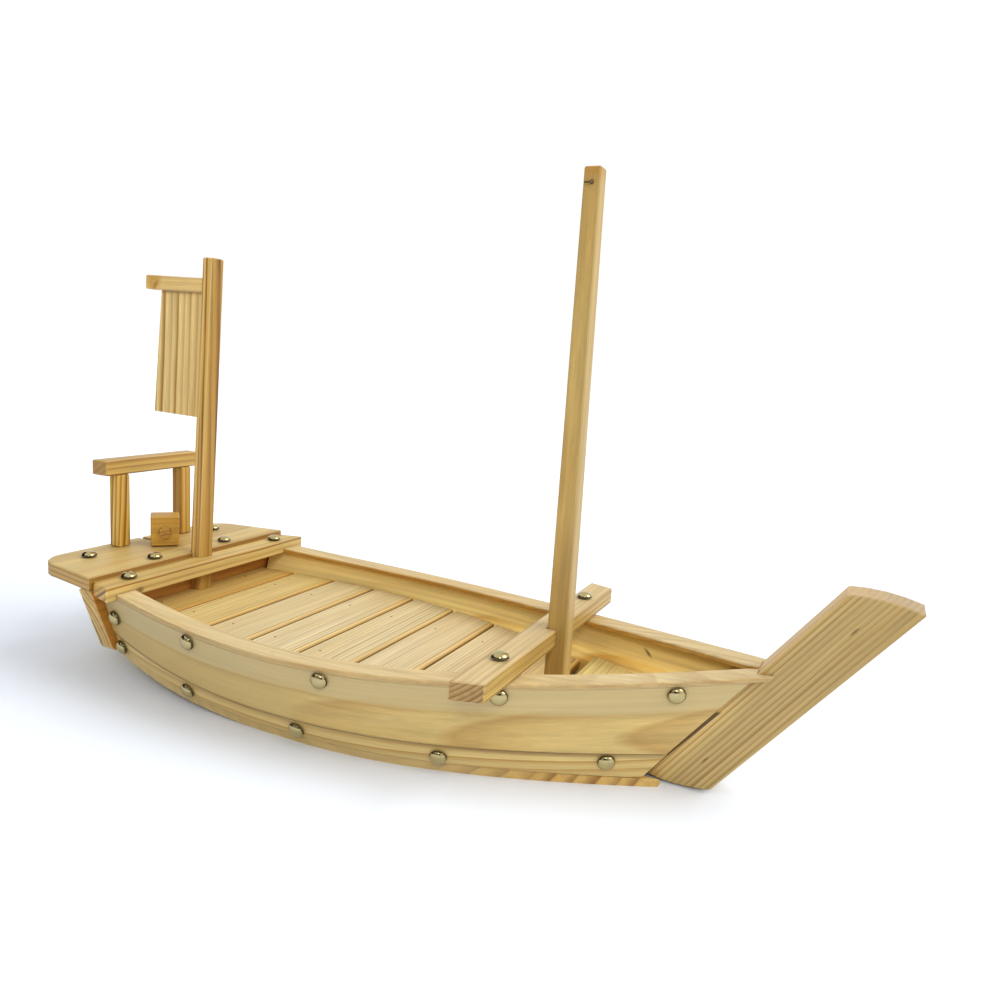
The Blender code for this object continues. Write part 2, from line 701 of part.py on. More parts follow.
# Stern gate: two posts and a crossbar on the deck.
for label, side in (("starboard", -1), ("port", 1)):
    post_y = GATE_Y + side * GATE_SPAN / 2
    shape = block((GATE_FACE_X - GATE_POST_WIDTH, post_y - GATE_POST_WIDTH / 2, DECK_TOP + SEAT_GAP),
                  (GATE_FACE_X, post_y + GATE_POST_WIDTH / 2, GATE_BAR_BOTTOM - SEAT_GAP))
    add("gate_post_" + label, soften(shape, EDGE_ROUND), PINE)
bar_shape = block((GATE_FACE_X - GATE_BAR_WIDTH, GATE_Y - GATE_BAR_LENGTH / 2, GATE_BAR_BOTTOM),
                  (GATE_FACE_X, GATE_Y + GATE_BAR_LENGTH / 2, GATE_BAR_BOTTOM + GATE_BAR_HEIGHT))
add("gate_crossbar", soften(bar_shape, EDGE_ROUND), PINE)

# Swivel block: turns on a round spigot of its own in the deck, and holds a short peg.
block_place = Matrix.Translation((BLOCK_X, 0.0, DECK_TOP)) @ Matrix.Rotation(BLOCK_TURN, 4, "Z")
block_half = BLOCK_WIDTH / 2
swivel_shape = soften(block((-block_half, -block_half, BLOCK_LIFT),
                            (block_half, block_half, BLOCK_LIFT + BLOCK_HEIGHT)), EDGE_ROUND)
swivel = add("swivel_block", swivel_shape, PINE_SHADE)
spigot = add("cutter", rod(PIVOT_RADIUS, -PIVOT_DEPTH, BLOCK_LIFT + PIVOT_RADIUS, 20), PINE_SHADE)
spigot.hide_render = True
join = swivel.modifiers.new("spigot", "BOOLEAN")
join.operation = "UNION"
join.object = spigot
bpy.context.view_layer.update()
swivel_mesh = bpy.data.meshes.new_from_object(
    swivel.evaluated_get(bpy.context.evaluated_depsgraph_get()))
swivel.modifiers.clear()
swivel.data = swivel_mesh
bpy.data.objects.remove(spigot)
peg_turn = Matrix.Translation((block_half, 0.0, PEG_HEIGHT)) @ Matrix.Rotation(math.pi / 2, 4, "Y")
carve(swivel, cutter(rod(PEG_RADIUS + SEAT_GAP, -PEG_BURY - SEAT_GAP, PEG_OUT, 20), peg_turn))
swivel.matrix_world = block_place
peg = add("swivel_peg", rod(PEG_RADIUS, -PEG_BURY, PEG_OUT, 20), PINE)
peg.matrix_world = block_place @ peg_turn
carve(deck, cutter(rod(PIVOT_RADIUS + SLIDE_GAP, -DECK_THICK - PIVOT_DEPTH, PIVOT_DEPTH, 20),
                   block_place))


# Domed nails: each has a shank in a drilled hole.
def nail_shape():
    """A dome over a shank, along Z, with the dome's rim at z = 0."""
    rings = []
    turn = [2 * math.pi * k / NAIL_SIDES for k in range(NAIL_SIDES)]
    for radius, z in ((SHANK_RADIUS, -SHANK_LENGTH), (SHANK_RADIUS, SEAT_GAP),
                      (NAIL_RADIUS, SEAT_GAP)):
        rings.append([(radius * math.cos(a), radius * math.sin(a), z) for a in turn])
    for k in range(1, 4):
        swing = math.pi / 2 * k / 3.4
        radius = NAIL_RADIUS * math.cos(swing)
        z = SEAT_GAP + NAIL_DOME * math.sin(swing)
        rings.append([(radius * math.cos(a), radius * math.sin(a), z) for a in turn])
    return loft(rings)


def nail(name, point, facing, timber):
    """Drive a nail into a timber at a point on its surface."""
    place = Matrix.Translation(point) @ facing.to_track_quat("Z", "Y").to_matrix().to_4x4()
    hole = rod(SHANK_RADIUS + SEAT_GAP, -SHANK_LENGTH - SEAT_GAP, NAIL_DOME, 8)
    carve(timber, cutter(hole, place))
    driven = add(name, nail_shape(), BRASS)
    driven.matrix_world = place
    driven.data.shade_smooth()
    driven.data.set_sharp_from_angle(angle=math.radians(40))


def hull_nail(name, label, side, x, z, row, inset):
    """A nail square to the planking."""
    s, share = side_at(x, z)
    facing = side_normal(s, share, PLANK_LAP)
    point = side_point(s, share, PLANK_LAP) - inset * facing
    nail(name, mirrored(point, side), mirrored(facing, side), planks[row, label])


def hull_place(share):
    """X at a share of the hull's length."""
    return HULL_AFT_X + share * (BOW_X - HULL_AFT_X)


up = Vector((0.0, 0.0, 1.0))
for label, side in (("starboard", -1), ("port", 1)):
    stern_nail_x = HULL_AFT_X + STERN_NAIL_SET
    hull_nail(f"nail_upper_{label}_1", label, side, stern_nail_x,
              sheer(stern_nail_x).z - STERN_NAIL_DOWN, "upper", 0.0)
    for number, share in enumerate(UPPER_NAIL_SHARES):
        x = hull_place(share)
        hull_nail(f"nail_upper_{label}_{number + 2}", label, side, x,
                  sheer(x).z - UPPER_NAIL_DOWN, "upper", 0.0)
    for number, (share, down) in enumerate(zip(LOWER_NAIL_SHARES, LOWER_NAIL_DOWN_SHARES)):
        x = hull_place(share)
        z = sheer(x).z - down * (sheer(x).z - rocker(x))
        hull_nail(f"nail_lower_{label}_{number + 1}", label, side, x, z, "lower", STRAKE_STEP)
    nail("nail_mast_thwart_" + label,
         Vector((MAST_THWART_X, side * (MAST_THWART_AFT_HALF - MAST_THWART_NAIL_SET),
                 MAST_THWART_TOP)), up, mast_thwart)
    nail("nail_stern_thwart_" + label,
         Vector((STERN_THWART_AFT_X + STERN_THWART_NAIL_FORE,
                 side * (STERN_THWART_AFT_HALF - STERN_THWART_NAIL_SET), STERN_THWART_TOP)),
         up, stern_thwart)
    nail("nail_deck_aft_" + label,
         Vector((DECK_AFT_X + DECK_AFT_NAIL_FORE, side * (DECK_AFT_HALF - DECK_AFT_NAIL_SET),
                 DECK_TOP)), up, deck)
    nail("nail_deck_fore_" + label,
         Vector((TRANSOM_FACE_X - DECK_FORE_NAIL_BACK, side * (DECK_FORE_HALF - DECK_FORE_NAIL_SET),
                 DECK_TOP)), up, deck)
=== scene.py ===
"""The looks of a wooden sushi boat: pale pine timbers, brass nails, and a white studio floor."""
import math

import bpy
import numpy as np
from mathutils import Euler, Matrix, Vector


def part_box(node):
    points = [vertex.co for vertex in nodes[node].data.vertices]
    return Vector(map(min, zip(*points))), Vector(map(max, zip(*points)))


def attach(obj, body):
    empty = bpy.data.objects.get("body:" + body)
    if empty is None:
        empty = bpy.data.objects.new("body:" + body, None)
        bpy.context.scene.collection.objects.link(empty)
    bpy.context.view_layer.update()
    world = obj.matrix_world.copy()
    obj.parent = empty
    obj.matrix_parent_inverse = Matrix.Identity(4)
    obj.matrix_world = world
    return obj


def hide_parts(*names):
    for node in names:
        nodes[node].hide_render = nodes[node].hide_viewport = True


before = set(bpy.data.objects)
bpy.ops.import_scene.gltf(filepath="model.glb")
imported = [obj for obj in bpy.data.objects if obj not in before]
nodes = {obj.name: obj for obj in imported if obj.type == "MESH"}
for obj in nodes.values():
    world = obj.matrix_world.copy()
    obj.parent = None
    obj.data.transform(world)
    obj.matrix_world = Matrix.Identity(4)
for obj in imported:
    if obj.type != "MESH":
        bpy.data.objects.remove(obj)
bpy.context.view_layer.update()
bpy.ops.object.select_all(action="DESELECT")


# Bottom panel
# A thin pine panel with its grain across the boat, so that its long edges show end grain.
# It is glued under the planks and stands on the table.
CROSS = (0.0, 1.0, 0.0)
LENGTH = (1.0, 0.0, 0.0)
UPRIGHT = (0.0, 0.0, 1.0)
BOTTOM_PALE = (0.55, 0.40, 0.165, 1.0)
BOTTOM_FADE = (0.04, 0.11)


def wire(tree, kind, inputs=(), **settings):
    """Add a shader node, with settings and with values or links for its inputs."""
    made = tree.nodes.new(kind)
    for key, value in settings.items():
        setattr(made, key, value)
    for slot, value in inputs:
        if isinstance(value, bpy.types.NodeSocket):
            tree.links.new(value, made.inputs[slot])
        else:
            made.inputs[slot].default_value = value
    return made


def calc(tree, operation, *values):
    """A sum on numbers."""
    return wire(tree, "ShaderNodeMath", list(enumerate(values)), operation=operation).outputs[0]


def place(tree, operation, *values):
    """A sum on vectors, giving a vector."""
    made = wire(tree, "ShaderNodeVectorMath", list(enumerate(values)), operation=operation)
    return made.outputs["Vector"]


def measure(tree, operation, *values):
    """A sum on vectors, giving a number."""
    made = wire(tree, "ShaderNodeVectorMath", list(enumerate(values)), operation=operation)
    return made.outputs["Value"]


def grade(tree, value, start, end, low=0.0, high=1.0):
    """Rise from low to high as a value goes from start to end."""
    made = wire(tree, "ShaderNodeMapRange", [("Value", value), ("From Min", start), ("From Max", end),
                                             ("To Min", low), ("To Max", high)])
    return made.outputs[0]


def blend(tree, share, first, second, mode="MIX"):
    """Mix two colours."""
    return wire(tree, "ShaderNodeMix", [(0, share), (6, first), (7, second)],
                data_type="RGBA", blend_type=mode).outputs[2]


def scaled(tree, colour, share):
    """A colour times a tint, or times a shade from other nodes."""
    return blend(tree, 1.0, colour, share, "MULTIPLY")


def straight(tree):
    """Coordinates for a straight timber."""
    return wire(tree, "ShaderNodeTexCoord").outputs["Object"]


def axes(tree, where=None):
    """The three coordinates of a place, or of the boat itself."""
    return wire(tree, "ShaderNodeSeparateXYZ", [(0, straight(tree) if where is None else where)]).outputs


def looks(tree, way):
    """How squarely a face looks one way, from -1 to 1."""
    return measure(tree, "DOT_PRODUCT", wire(tree, "ShaderNodeTexCoord").outputs["Normal"], way)


def noise(tree, where, scale, detail=2.0, roughness=0.5, gives="Fac"):
    """Noise that is stretched by its own scale in each direction."""
    made = wire(tree, "ShaderNodeTexNoise", [("Vector", place(tree, "MULTIPLY", where, scale)),
                                             ("Scale", 1.0), ("Detail", detail),
                                             ("Roughness", roughness)])
    return made.outputs[gives]


def tint(tone, share):
    """A colour scaled channel by channel."""
    return (*(value * part for value, part in zip(tone, share)), 1.0)


# Noise per metre along the grain and across it, and tints of a timber's mean colour.
SWAY = (6.0, 22.0, 22.0)
DRIFT = (6.0, 30.0, 30.0)
STREAK = (8.0, 240.0, 240.0)
FIBRE = (35.0, 1400.0, 1400.0)
FLECK = (70.0, 620.0, 620.0)
YEARS_PER_RING = 0.45
RING_SHADES = ((0.4, 0.1), (0.78, 0.75), (0.9, 1.0))
RING_STRENGTH = (0.45, 1.0)
SPRING_TINT = (1.1, 1.12, 1.16)
SUMMER_TINT = (0.74, 0.60, 0.40)
DRIFT_TINT = (1.0, 0.9, 0.72)
FLECK_TINT = (0.4, 0.28, 0.15)
END_TURN = (0.75, 0.95)
END_SPRING = (0.86, 0.77, 0.56, 1.0)
END_SUMMER = (0.36, 0.24, 0.11, 1.0)
OIL_ROUGHNESS = 0.40
OIL_SPECULAR = 0.4
PLANED_STRENGTH = 0.15
PLANED_DEPTH = 0.0003


def pine(name, tone, grain, pith, ring, contrast=0.7, wander=0.003, tilt=(0.0, 0.0, 0.0),
         follow=straight, late=SUMMER_TINT, uneven=1.0, marks=None):
    """Pine sawn from a log: tone is its mean colour, grain the log's direction, pith its heart in metres.

    Rings lie round the pith, so every face shows the figure that such a cut would show.
    """
    made = bpy.data.materials.new(name)
    made.use_nodes = True
    tree = made.node_tree
    shader = tree.nodes["Principled BSDF"]
    aim = Vector(grain).normalized()
    turn = aim.to_track_quat("X", "Z").to_matrix() @ Euler(tilt).to_matrix()
    sawn = wire(tree, "ShaderNodeMapping", [("Vector", follow(tree)), ("Location", pith),
                                            ("Rotation", turn.to_euler())],
                vector_type="TEXTURE").outputs[0]

    # The log wavers along its length.
    sway = place(tree, "SUBTRACT", noise(tree, sawn, SWAY, gives="Color"), (0.5, 0.5, 0.5))
    sway = place(tree, "MULTIPLY", sway, (0.0, 2 * wander, 2 * wander))
    log = place(tree, "MULTIPLY", place(tree, "ADD", sawn, sway), (0.0, 1.0, 1.0))
    radius = measure(tree, "LENGTH", log)

    # Each ring darkens from spring wood to summer wood and then starts afresh.
    years = wire(tree, "ShaderNodeTexNoise", [("W", calc(tree, "MULTIPLY", radius, YEARS_PER_RING / ring)),
                                              ("Scale", 1.0), ("Detail", 1.0)],
                 noise_dimensions="1D").outputs["Fac"]
    turns = calc(tree, "MULTIPLY_ADD", years, uneven, calc(tree, "DIVIDE", radius, ring))
    shade = wire(tree, "ShaderNodeValToRGB", [("Fac", calc(tree, "FRACT", turns))])
    ramp = shade.color_ramp
    ramp.elements[0].color = (0.0, 0.0, 0.0, 1.0)
    ramp.elements[1].color = (0.1, 0.1, 0.1, 1.0)
    for spot, level in RING_SHADES:
        ramp.elements.new(spot).color = (level, level, level, 1.0)
    strength = wire(tree, "ShaderNodeTexWhiteNoise", [("W", calc(tree, "FLOOR", turns))],
                    noise_dimensions="1D").outputs["Value"]
    summer = calc(tree, "MULTIPLY", shade.outputs["Color"], grade(tree, strength, 0.0, 1.0, *RING_STRENGTH))

    # The tone drifts along the board, streaks and fibres follow the grain, and resin leaves flecks.
    drift = noise(tree, sawn, DRIFT)
    streak = noise(tree, sawn, STREAK)
    fibre = noise(tree, sawn, FIBRE, 3.0, 0.6)
    fleck = noise(tree, sawn, FLECK, 0.0)
    figure = calc(tree, "MULTIPLY", summer, contrast)
    colour = blend(tree, figure, tint(tone, SPRING_TINT), tint(tone, late))
    colour = blend(tree, grade(tree, drift, 0.45, 0.7, 0.0, 0.6), colour, tint(tone, DRIFT_TINT))
    colour = scaled(tree, colour, grade(tree, streak, 0.25, 0.75, 0.84, 1.12))
    colour = scaled(tree, colour, grade(tree, fibre, 0.2, 0.8, 0.86, 1.14))
    colour = blend(tree, grade(tree, fleck, 0.86, 0.9, 0.0, 0.5), colour, tint(tone, FLECK_TINT))

    # End grain drinks in the oil and is darker.
    ends = grade(tree, calc(tree, "ABSOLUTE", looks(tree, aim)), *END_TURN)
    cut = blend(tree, figure, END_SPRING, END_SUMMER)
    colour = blend(tree, ends, colour, scaled(tree, colour, cut))
    if marks:
        colour = marks(tree, colour)
    tree.links.new(colour, shader.inputs["Base Color"])

    # Satin oil: summer wood is a little smoother and stands up from the planed face.
    smooth = calc(tree, "MULTIPLY_ADD", summer, -0.08, OIL_ROUGHNESS)
    polish = calc(tree, "MULTIPLY_ADD", fibre, 0.22, smooth)
    tree.links.new(polish, shader.inputs["Roughness"])
    relief = calc(tree, "MULTIPLY_ADD", fibre, 0.5, summer)
    bump = wire(tree, "ShaderNodeBump", [("Height", relief), ("Strength", PLANED_STRENGTH),
                                         ("Distance", PLANED_DEPTH)])
    tree.links.new(bump.outputs[0], shader.inputs["Normal"])
    shader.inputs["Specular IOR Level"].default_value = OIL_SPECULAR
    return made


def finish(names, material):
    """Give CAD timbers their finish."""
    for name in names:
        for slot in nodes[name].material_slots:
            slot.material = material


def bottom_marks(tree, colour):
    """Paler wood with fainter rings towards the stern."""
    return blend(tree, grade(tree, axes(tree)[0], *BOTTOM_FADE, 0.8, 0.0), colour, BOTTOM_PALE)


finish(["bottom_panel"],
       pine("bottom_pine", tone=(0.63, 0.43, 0.144), grain=CROSS, pith=(-0.003, 0.0, 0.089),
            ring=0.0105, contrast=0.9, wander=0.001, marks=bottom_marks))


# Stem
# One thick quarter-sawn board, so its sides show straight close rings along the rake.
# It is sawn to a slant at both ends, stands in the bottom's fork between the planks' fore ends,
# and shows resin in short dark streaks.
STEM_RAKE = 0.745
STEM_GRAIN = (STEM_RAKE, 0.0, 1.0)
STEM_BACK = (-0.8, 0.0, 0.6)
STEM_BACK_TINT = (1.4, 1.3, 1.2)
STEM_HEAD = (0.405, 0.295, 0.155, 1.0)
# Painted light along the stem's low aft edge, which lifts the shade that the planks' proud ends cast there.
STEM_PAINTED_LIGHT_TINT = (1.5, 1.55, 1.6, 1.0)
STEM_PAINTED_LIGHT_EDGE = (0.158, 0.172)
STEM_PAINTED_LIGHT_TOP = (0.05, 0.075)
# Painted shadow on the stem's side, where the planks' ends shade the joint.
SLIT_HEIGHT = (0.018, 0.054)
SLIT_EDGE = (0.1561, 0.1584)
SLIT_BLUR = (-0.0003, 0.0003)
SLIT_TOP = (0.0535, 0.0555)
SLIT_PAINTED_SHADOW = (0.07, 0.04, 0.012, 1.0)
FACE_TURN = (0.5, 0.85)
# The dark of resin streaks, and of painted shadow spots.
RESIN_AND_SHADOW_DARK = (0.13, 0.07, 0.02, 1.0)
RESIN_AND_SHADOW_SPREAD = (0.4, 1.1)
STEM_RESIN_TURN = -0.93
STEM_RESIN = (((0.265, -0.012, 0.1191), (0.0042, 0.006, 0.0008)),
              ((0.1928, -0.012, 0.0221), (0.0036, 0.006, 0.0007)))


def facing(tree, way, most=1.0):
    """Most on a face that looks one way, and nothing on a face that turns far from it."""
    return grade(tree, looks(tree, way), *FACE_TURN, 0.0, most)


def on_face(tree, colour, way, share):
    """Tint only the faces that look one way."""
    return blend(tree, facing(tree, way), colour, scaled(tree, colour, (*share, 1.0)))


def resin_and_shadow_spot(tree, colour, where, size, turn, shade=RESIN_AND_SHADOW_DARK):
    """A short dark streak at a place, turned about the boat's Y."""
    near = wire(tree, "ShaderNodeMapping", [("Vector", straight(tree)), ("Location", where),
                                            ("Rotation", (0.0, turn, 0.0)), ("Scale", size)],
                vector_type="TEXTURE").outputs[0]
    core = grade(tree, measure(tree, "LENGTH", near), *RESIN_AND_SHADOW_SPREAD, 0.8, 0.0)
    return blend(tree, core, colour, shade)


def stem_marks(tree, colour):
    """Painted light low on the aft edge, a painted shadow where the planks meet it, a browner head, and two
    resinous streaks.
    """
    x, _, z = axes(tree)
    fore = calc(tree, "SUBTRACT", x, calc(tree, "MULTIPLY", z, STEM_RAKE))
    painted_light = calc(tree, "MULTIPLY", grade(tree, fore, *STEM_PAINTED_LIGHT_EDGE, 0.8, 0.0),
               grade(tree, z, *STEM_PAINTED_LIGHT_TOP, 1.0, 0.0))
    colour = blend(tree, painted_light, colour, scaled(tree, colour, STEM_PAINTED_LIGHT_TINT))
    past = calc(tree, "SUBTRACT", fore, grade(tree, z, *SLIT_HEIGHT, *SLIT_EDGE))
    slit_shadow = calc(tree, "MULTIPLY", grade(tree, past, *SLIT_BLUR, 0.9, 0.0),
                grade(tree, z, *SLIT_TOP, 1.0, 0.0))
    colour = blend(tree, slit_shadow, colour, SLIT_PAINTED_SHADOW)
    colour = blend(tree, facing(tree, UPRIGHT, 0.65), colour, STEM_HEAD)
    colour = on_face(tree, colour, STEM_BACK, STEM_BACK_TINT)
    for where, size in STEM_RESIN:
        colour = resin_and_shadow_spot(tree, colour, where, size, STEM_RESIN_TURN)
    return colour


finish(["stem"],
       pine("stem_pine", tone=(0.435, 0.308, 0.112), grain=STEM_GRAIN, pith=(0.115, 0.02, 0.125),
            ring=0.0031, contrast=1.6, wander=0.0012, uneven=0.5, marks=stem_marks))


# Transom
# An upright pine board that closes the stern under the deck, its grain across the boat.
# The planks' aft ends are glued to its sloping sides.
# Painted shade under the deck on the transom's inner face, with wood reddened by oil.
TRANSOM_INSIDE_SHADE_AND_OIL = (0.69, 0.40, 0.125)


def transom_marks(tree, colour):
    """The face that looks into the boat is darker and redder: painted shade under the deck, and
    oil-reddened wood.
    """
    return on_face(tree, colour, LENGTH, TRANSOM_INSIDE_SHADE_AND_OIL)


finish(["transom"],
       pine("transom_pine", tone=(0.66, 0.488, 0.205), grain=CROSS, pith=(-0.30, 0.0, 0.03),
            ring=0.004, contrast=1.0, marks=transom_marks))


# Planks
# Flat-sawn boards bent round the hull, two to a side, nailed and glued edge to edge.
# The upper one keeps a band of pale sapwood along its top, and long tongues of summer wood below it.
SHEER_LOW = 0.0645
SHEER_X = -0.043
SHEER_BEND = 0.27
SEAM_SHARE = 0.69
ROCKER_X = -0.075
ROCKER_BEND = 0.88
# Painted shadow along the seam between the two strakes.
SEAM_PAINTED_SHADOW = (0.20, 0.12, 0.04, 1.0)
SEAM_ABOVE = (0.0008, 0.0022)
SEAM_BELOW = (-0.0028, -0.0006)
SAP_DEPTH = 0.0260
SAP_WAVER = 0.005
SAP_START = (0.0025, 0.0055)
SAP_PALE = (0.515, 0.392, 0.178, 1.0)
BORDER_RISE = (0.0, 0.0028)
BORDER_FALL = (0.003, 0.0045)
BORDER_BROWN = (0.34, 0.20, 0.05, 1.0)
PLAIN_ASTERN = (-0.06, -0.015)
PLAIN_WOOD = (0.50, 0.35, 0.117, 1.0)
PLANK_LATE = (0.74, 0.57, 0.36)
TO_STARBOARD = (0.0, -1.0, 0.0)
# Painted light on the port plank's inner face.
INNER_PAINTED_LIGHT = (1.86, 1.86, 1.53)
KNOT_PLACE = (0.1377, 0.0464, 0.0605)
KNOT_SIZE = (0.0045, 0.02, 0.0013)
KNOT_TURN = 0.55


def sheer(tree, x):
    """The height of the planks' top edge at a place along the hull."""
    off = calc(tree, "SUBTRACT", x, SHEER_X)
    return calc(tree, "MULTIPLY_ADD", calc(tree, "MULTIPLY", off, off), SHEER_BEND, SHEER_LOW)


def bent(tree):
    """Coordinates that follow the hull: along it, and up from its sheer."""
    x, _, z = axes(tree)
    up = calc(tree, "SUBTRACT", z, sheer(tree, x))
    return wire(tree, "ShaderNodeCombineXYZ", [(0, x), (2, up)]).outputs[0]


def above_seam(tree):
    """Height above the seam between the two strakes."""
    x, _, z = axes(tree)
    back = calc(tree, "MINIMUM", calc(tree, "SUBTRACT", x, ROCKER_X), 0.0)
    rocker = calc(tree, "MULTIPLY", calc(tree, "MULTIPLY", back, back), ROCKER_BEND)
    seam = calc(tree, "ADD", calc(tree, "MULTIPLY", sheer(tree, x), 1 - SEAM_SHARE),
                calc(tree, "MULTIPLY", rocker, SEAM_SHARE))
    return calc(tree, "SUBTRACT", z, seam)


def lines(tree, along, up, *levels):
    """Fine lines that follow the hull, by noise per metre along it and up it, and the levels to give."""
    return grade(tree, noise(tree, bent(tree), (along, 0.0, up)), *levels)


def upper_marks(tree, colour):
    """Sapwood along the top with a brown border, and a painted shadow along the seam between the strakes.
    """
    where = bent(tree)
    wavy = calc(tree, "MULTIPLY_ADD", noise(tree, where, (9.0, 0.0, 60.0)), SAP_WAVER, -SAP_DEPTH)
    above = calc(tree, "SUBTRACT", axes(tree, where)[2], wavy)
    border = calc(tree, "MULTIPLY", grade(tree, above, *BORDER_RISE, 0.0, 0.35),
                  grade(tree, above, *BORDER_FALL, 1.0, 0.0))
    colour = blend(tree, border, colour, BORDER_BROWN)
    pale = scaled(tree, SAP_PALE, lines(tree, 5.0, 420.0, 0.35, 0.65, 0.93, 1.03))
    colour = blend(tree, grade(tree, above, *SAP_START, 0.0, 0.85), colour, pale)
    return blend(tree, grade(tree, above_seam(tree), *SEAM_ABOVE, 0.6, 0.0), colour, SEAM_PAINTED_SHADOW)


def starboard_marks(tree, colour):
    """The figure fades towards the stern."""
    plain = scaled(tree, PLAIN_WOOD, lines(tree, 6.0, 300.0, 0.3, 0.7, 0.9, 1.06))
    fade = grade(tree, axes(tree)[0], *PLAIN_ASTERN, 0.8, 0.0)
    return upper_marks(tree, blend(tree, fade, colour, plain))


def port_marks(tree, colour):
    """The face that looks into the boat is painted brighter, as the light falls on it, with a slanting
    knot.
    """
    colour = on_face(tree, upper_marks(tree, colour), TO_STARBOARD, INNER_PAINTED_LIGHT)
    colour = scaled(tree, colour, lines(tree, 4.0, 240.0, 0.35, 0.65, 0.78, 1.14))
    return resin_and_shadow_spot(tree, colour, KNOT_PLACE, KNOT_SIZE, KNOT_TURN)


def lower_marks(tree, colour):
    """A painted shadow along the seam, where the upper strake shades the lower one."""
    return blend(tree, grade(tree, above_seam(tree), *SEAM_BELOW, 0.0, 0.6), colour, SEAM_PAINTED_SHADOW)


finish(["upper_plank_starboard"],
       pine("upper_plank_starboard_pine", tone=(0.535, 0.377, 0.128), grain=LENGTH,
            pith=(0.032, -0.0612, -0.038), ring=0.0068, contrast=0.9, wander=0.0012,
            tilt=(0.0, 0.0, 0.065), follow=bent, late=PLANK_LATE, uneven=0.25, marks=starboard_marks))
finish(["upper_plank_port"],
       pine("upper_plank_port_pine", tone=(0.66, 0.51, 0.21), grain=LENGTH,
            pith=(0.02, -0.055, -0.03), ring=0.0060, contrast=1.3, wander=0.0018,
            tilt=(0.0, 0.02, 0.05), follow=bent, late=PLANK_LATE, uneven=0.6, marks=port_marks))
for side, lift in (("starboard", 0.0), ("port", 0.004)):
    finish(["lower_plank_" + side],
           pine(f"lower_plank_{side}_pine", tone=(0.585, 0.425, 0.155), grain=LENGTH,
                pith=(0.1, -0.03, -0.10 + lift), ring=0.0052, contrast=1.3, wander=0.0015,
                tilt=(0.0, 0.02, 0.02), follow=bent, late=PLANK_LATE, uneven=0.8, marks=lower_marks))


# Bow blocks
# A pine block is glued into each corner between the planks' fore ends and the stem, and closes the bow.
# It is sawn along the stem's rake, wider at its foot, as the planks are.
BLOCK_FOOT = 0.007
BLOCK_HEAD = 0.0782
BLOCK_ROUNDING = 0.0004
SMOOTH_ANGLE = math.radians(40)
# Each corner: how far forward it stands on the rake's foot line, and its distance from the middle
# at the block's foot and head.
BLOCK_CORNERS = {(1, -1): (0.1553, 0.0112, 0.0112), (1, 1): (0.1505, 0.0223, 0.0164),
                 (-1, 1): (0.1415, 0.0265, 0.0205), (-1, -1): (0.1560, 0.0040, 0.0040)}


def pick(piece, kind, chosen):
    """Select only the chosen corners or faces of the active piece, and open it in edit mode."""
    bpy.ops.object.mode_set(mode="EDIT")
    bpy.ops.mesh.select_mode(type=kind)
    bpy.ops.mesh.select_all(action="DESELECT")
    bpy.ops.object.mode_set(mode="OBJECT")
    for item in piece.data.vertices if kind == "VERT" else piece.data.polygons:
        item.select = chosen(item)
    bpy.ops.object.mode_set(mode="EDIT")


def copied(piece, name, move):
    """A copy with its own mesh, which holds the move, so that its object stays at the origin."""
    made = piece.copy()
    made.data = piece.data.copy()
    made.name = name
    made.data.transform(move)
    bpy.context.collection.objects.link(made)
    return made


bpy.ops.object.select_all(action="DESELECT")
bpy.ops.mesh.primitive_cube_add(size=2.0)
block = bpy.context.active_object
block.name = "bow_block_port"
for corner in range(8):
    start = block.data.vertices[corner].co.copy()
    fore, foot, head = BLOCK_CORNERS[(round(start.x), round(start.y))]
    height = BLOCK_HEAD if start.z > 0 else BLOCK_FOOT
    goal = Vector((fore + STEM_RAKE * height, head if start.z > 0 else foot, height))
    pick(block, "VERT", lambda vertex: vertex.index == corner)
    bpy.ops.transform.translate(value=goal - start)
    bpy.ops.object.mode_set(mode="OBJECT")
bpy.ops.object.mode_set(mode="EDIT")
bpy.ops.mesh.select_all(action="SELECT")
bpy.ops.mesh.bevel(offset=BLOCK_ROUNDING, segments=2)
bpy.ops.object.mode_set(mode="OBJECT")
bpy.ops.object.shade_smooth_by_angle(angle=SMOOTH_ANGLE)
block.data.materials.append(
    pine("bow_block_pine", tone=(0.64, 0.45, 0.16), grain=STEM_GRAIN, pith=(0.10, 0.05, 0.03),
         ring=0.003, contrast=0.9, wander=0.0014))
mirrored = copied(block, "bow_block_starboard", Matrix.Diagonal((1.0, -1.0, 1.0, 1.0)))
mirrored.data.flip_normals()
for piece in (block, mirrored):
    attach(piece, "hull")


# Rails
# Thin pine strips bent along the planks' top edges, rounded by hand and glued down.
# They are the palest wood of the boat.
RAIL_INNER = (0.84, 0.77, 0.65)
RAIL_OUTER = (0.86, 0.77, 0.64)
# Painted shade on the far rail's inner edge.
FAR_RAIL_INNER_SHADE = (0.84, 0.58, 0.2)
RAIL_TILT = (0.0, 0.012, 0.01)


def rail_marks(tree, colour):
    """Both edges are darker than the top."""
    colour = on_face(tree, colour, CROSS, RAIL_INNER)
    return on_face(tree, colour, TO_STARBOARD, RAIL_OUTER)


def far_rail_marks(tree, colour):
    """The inner edge is painted darker and more golden, as the shade under the rail."""
    return on_face(tree, colour, TO_STARBOARD, FAR_RAIL_INNER_SHADE)


finish(["rail_starboard"],
       pine("rail_starboard_pine", tone=(0.54, 0.41, 0.195), grain=LENGTH, pith=(0.0, -0.05, -0.09),
            ring=0.004, contrast=0.75, wander=0.002, tilt=RAIL_TILT, marks=rail_marks))
finish(["rail_port"],
       pine("rail_port_pine", tone=(0.52, 0.39, 0.178), grain=LENGTH, pith=(0.0, -0.05, -0.086),
            ring=0.004, contrast=0.9, wander=0.002, tilt=RAIL_TILT, marks=far_rail_marks))


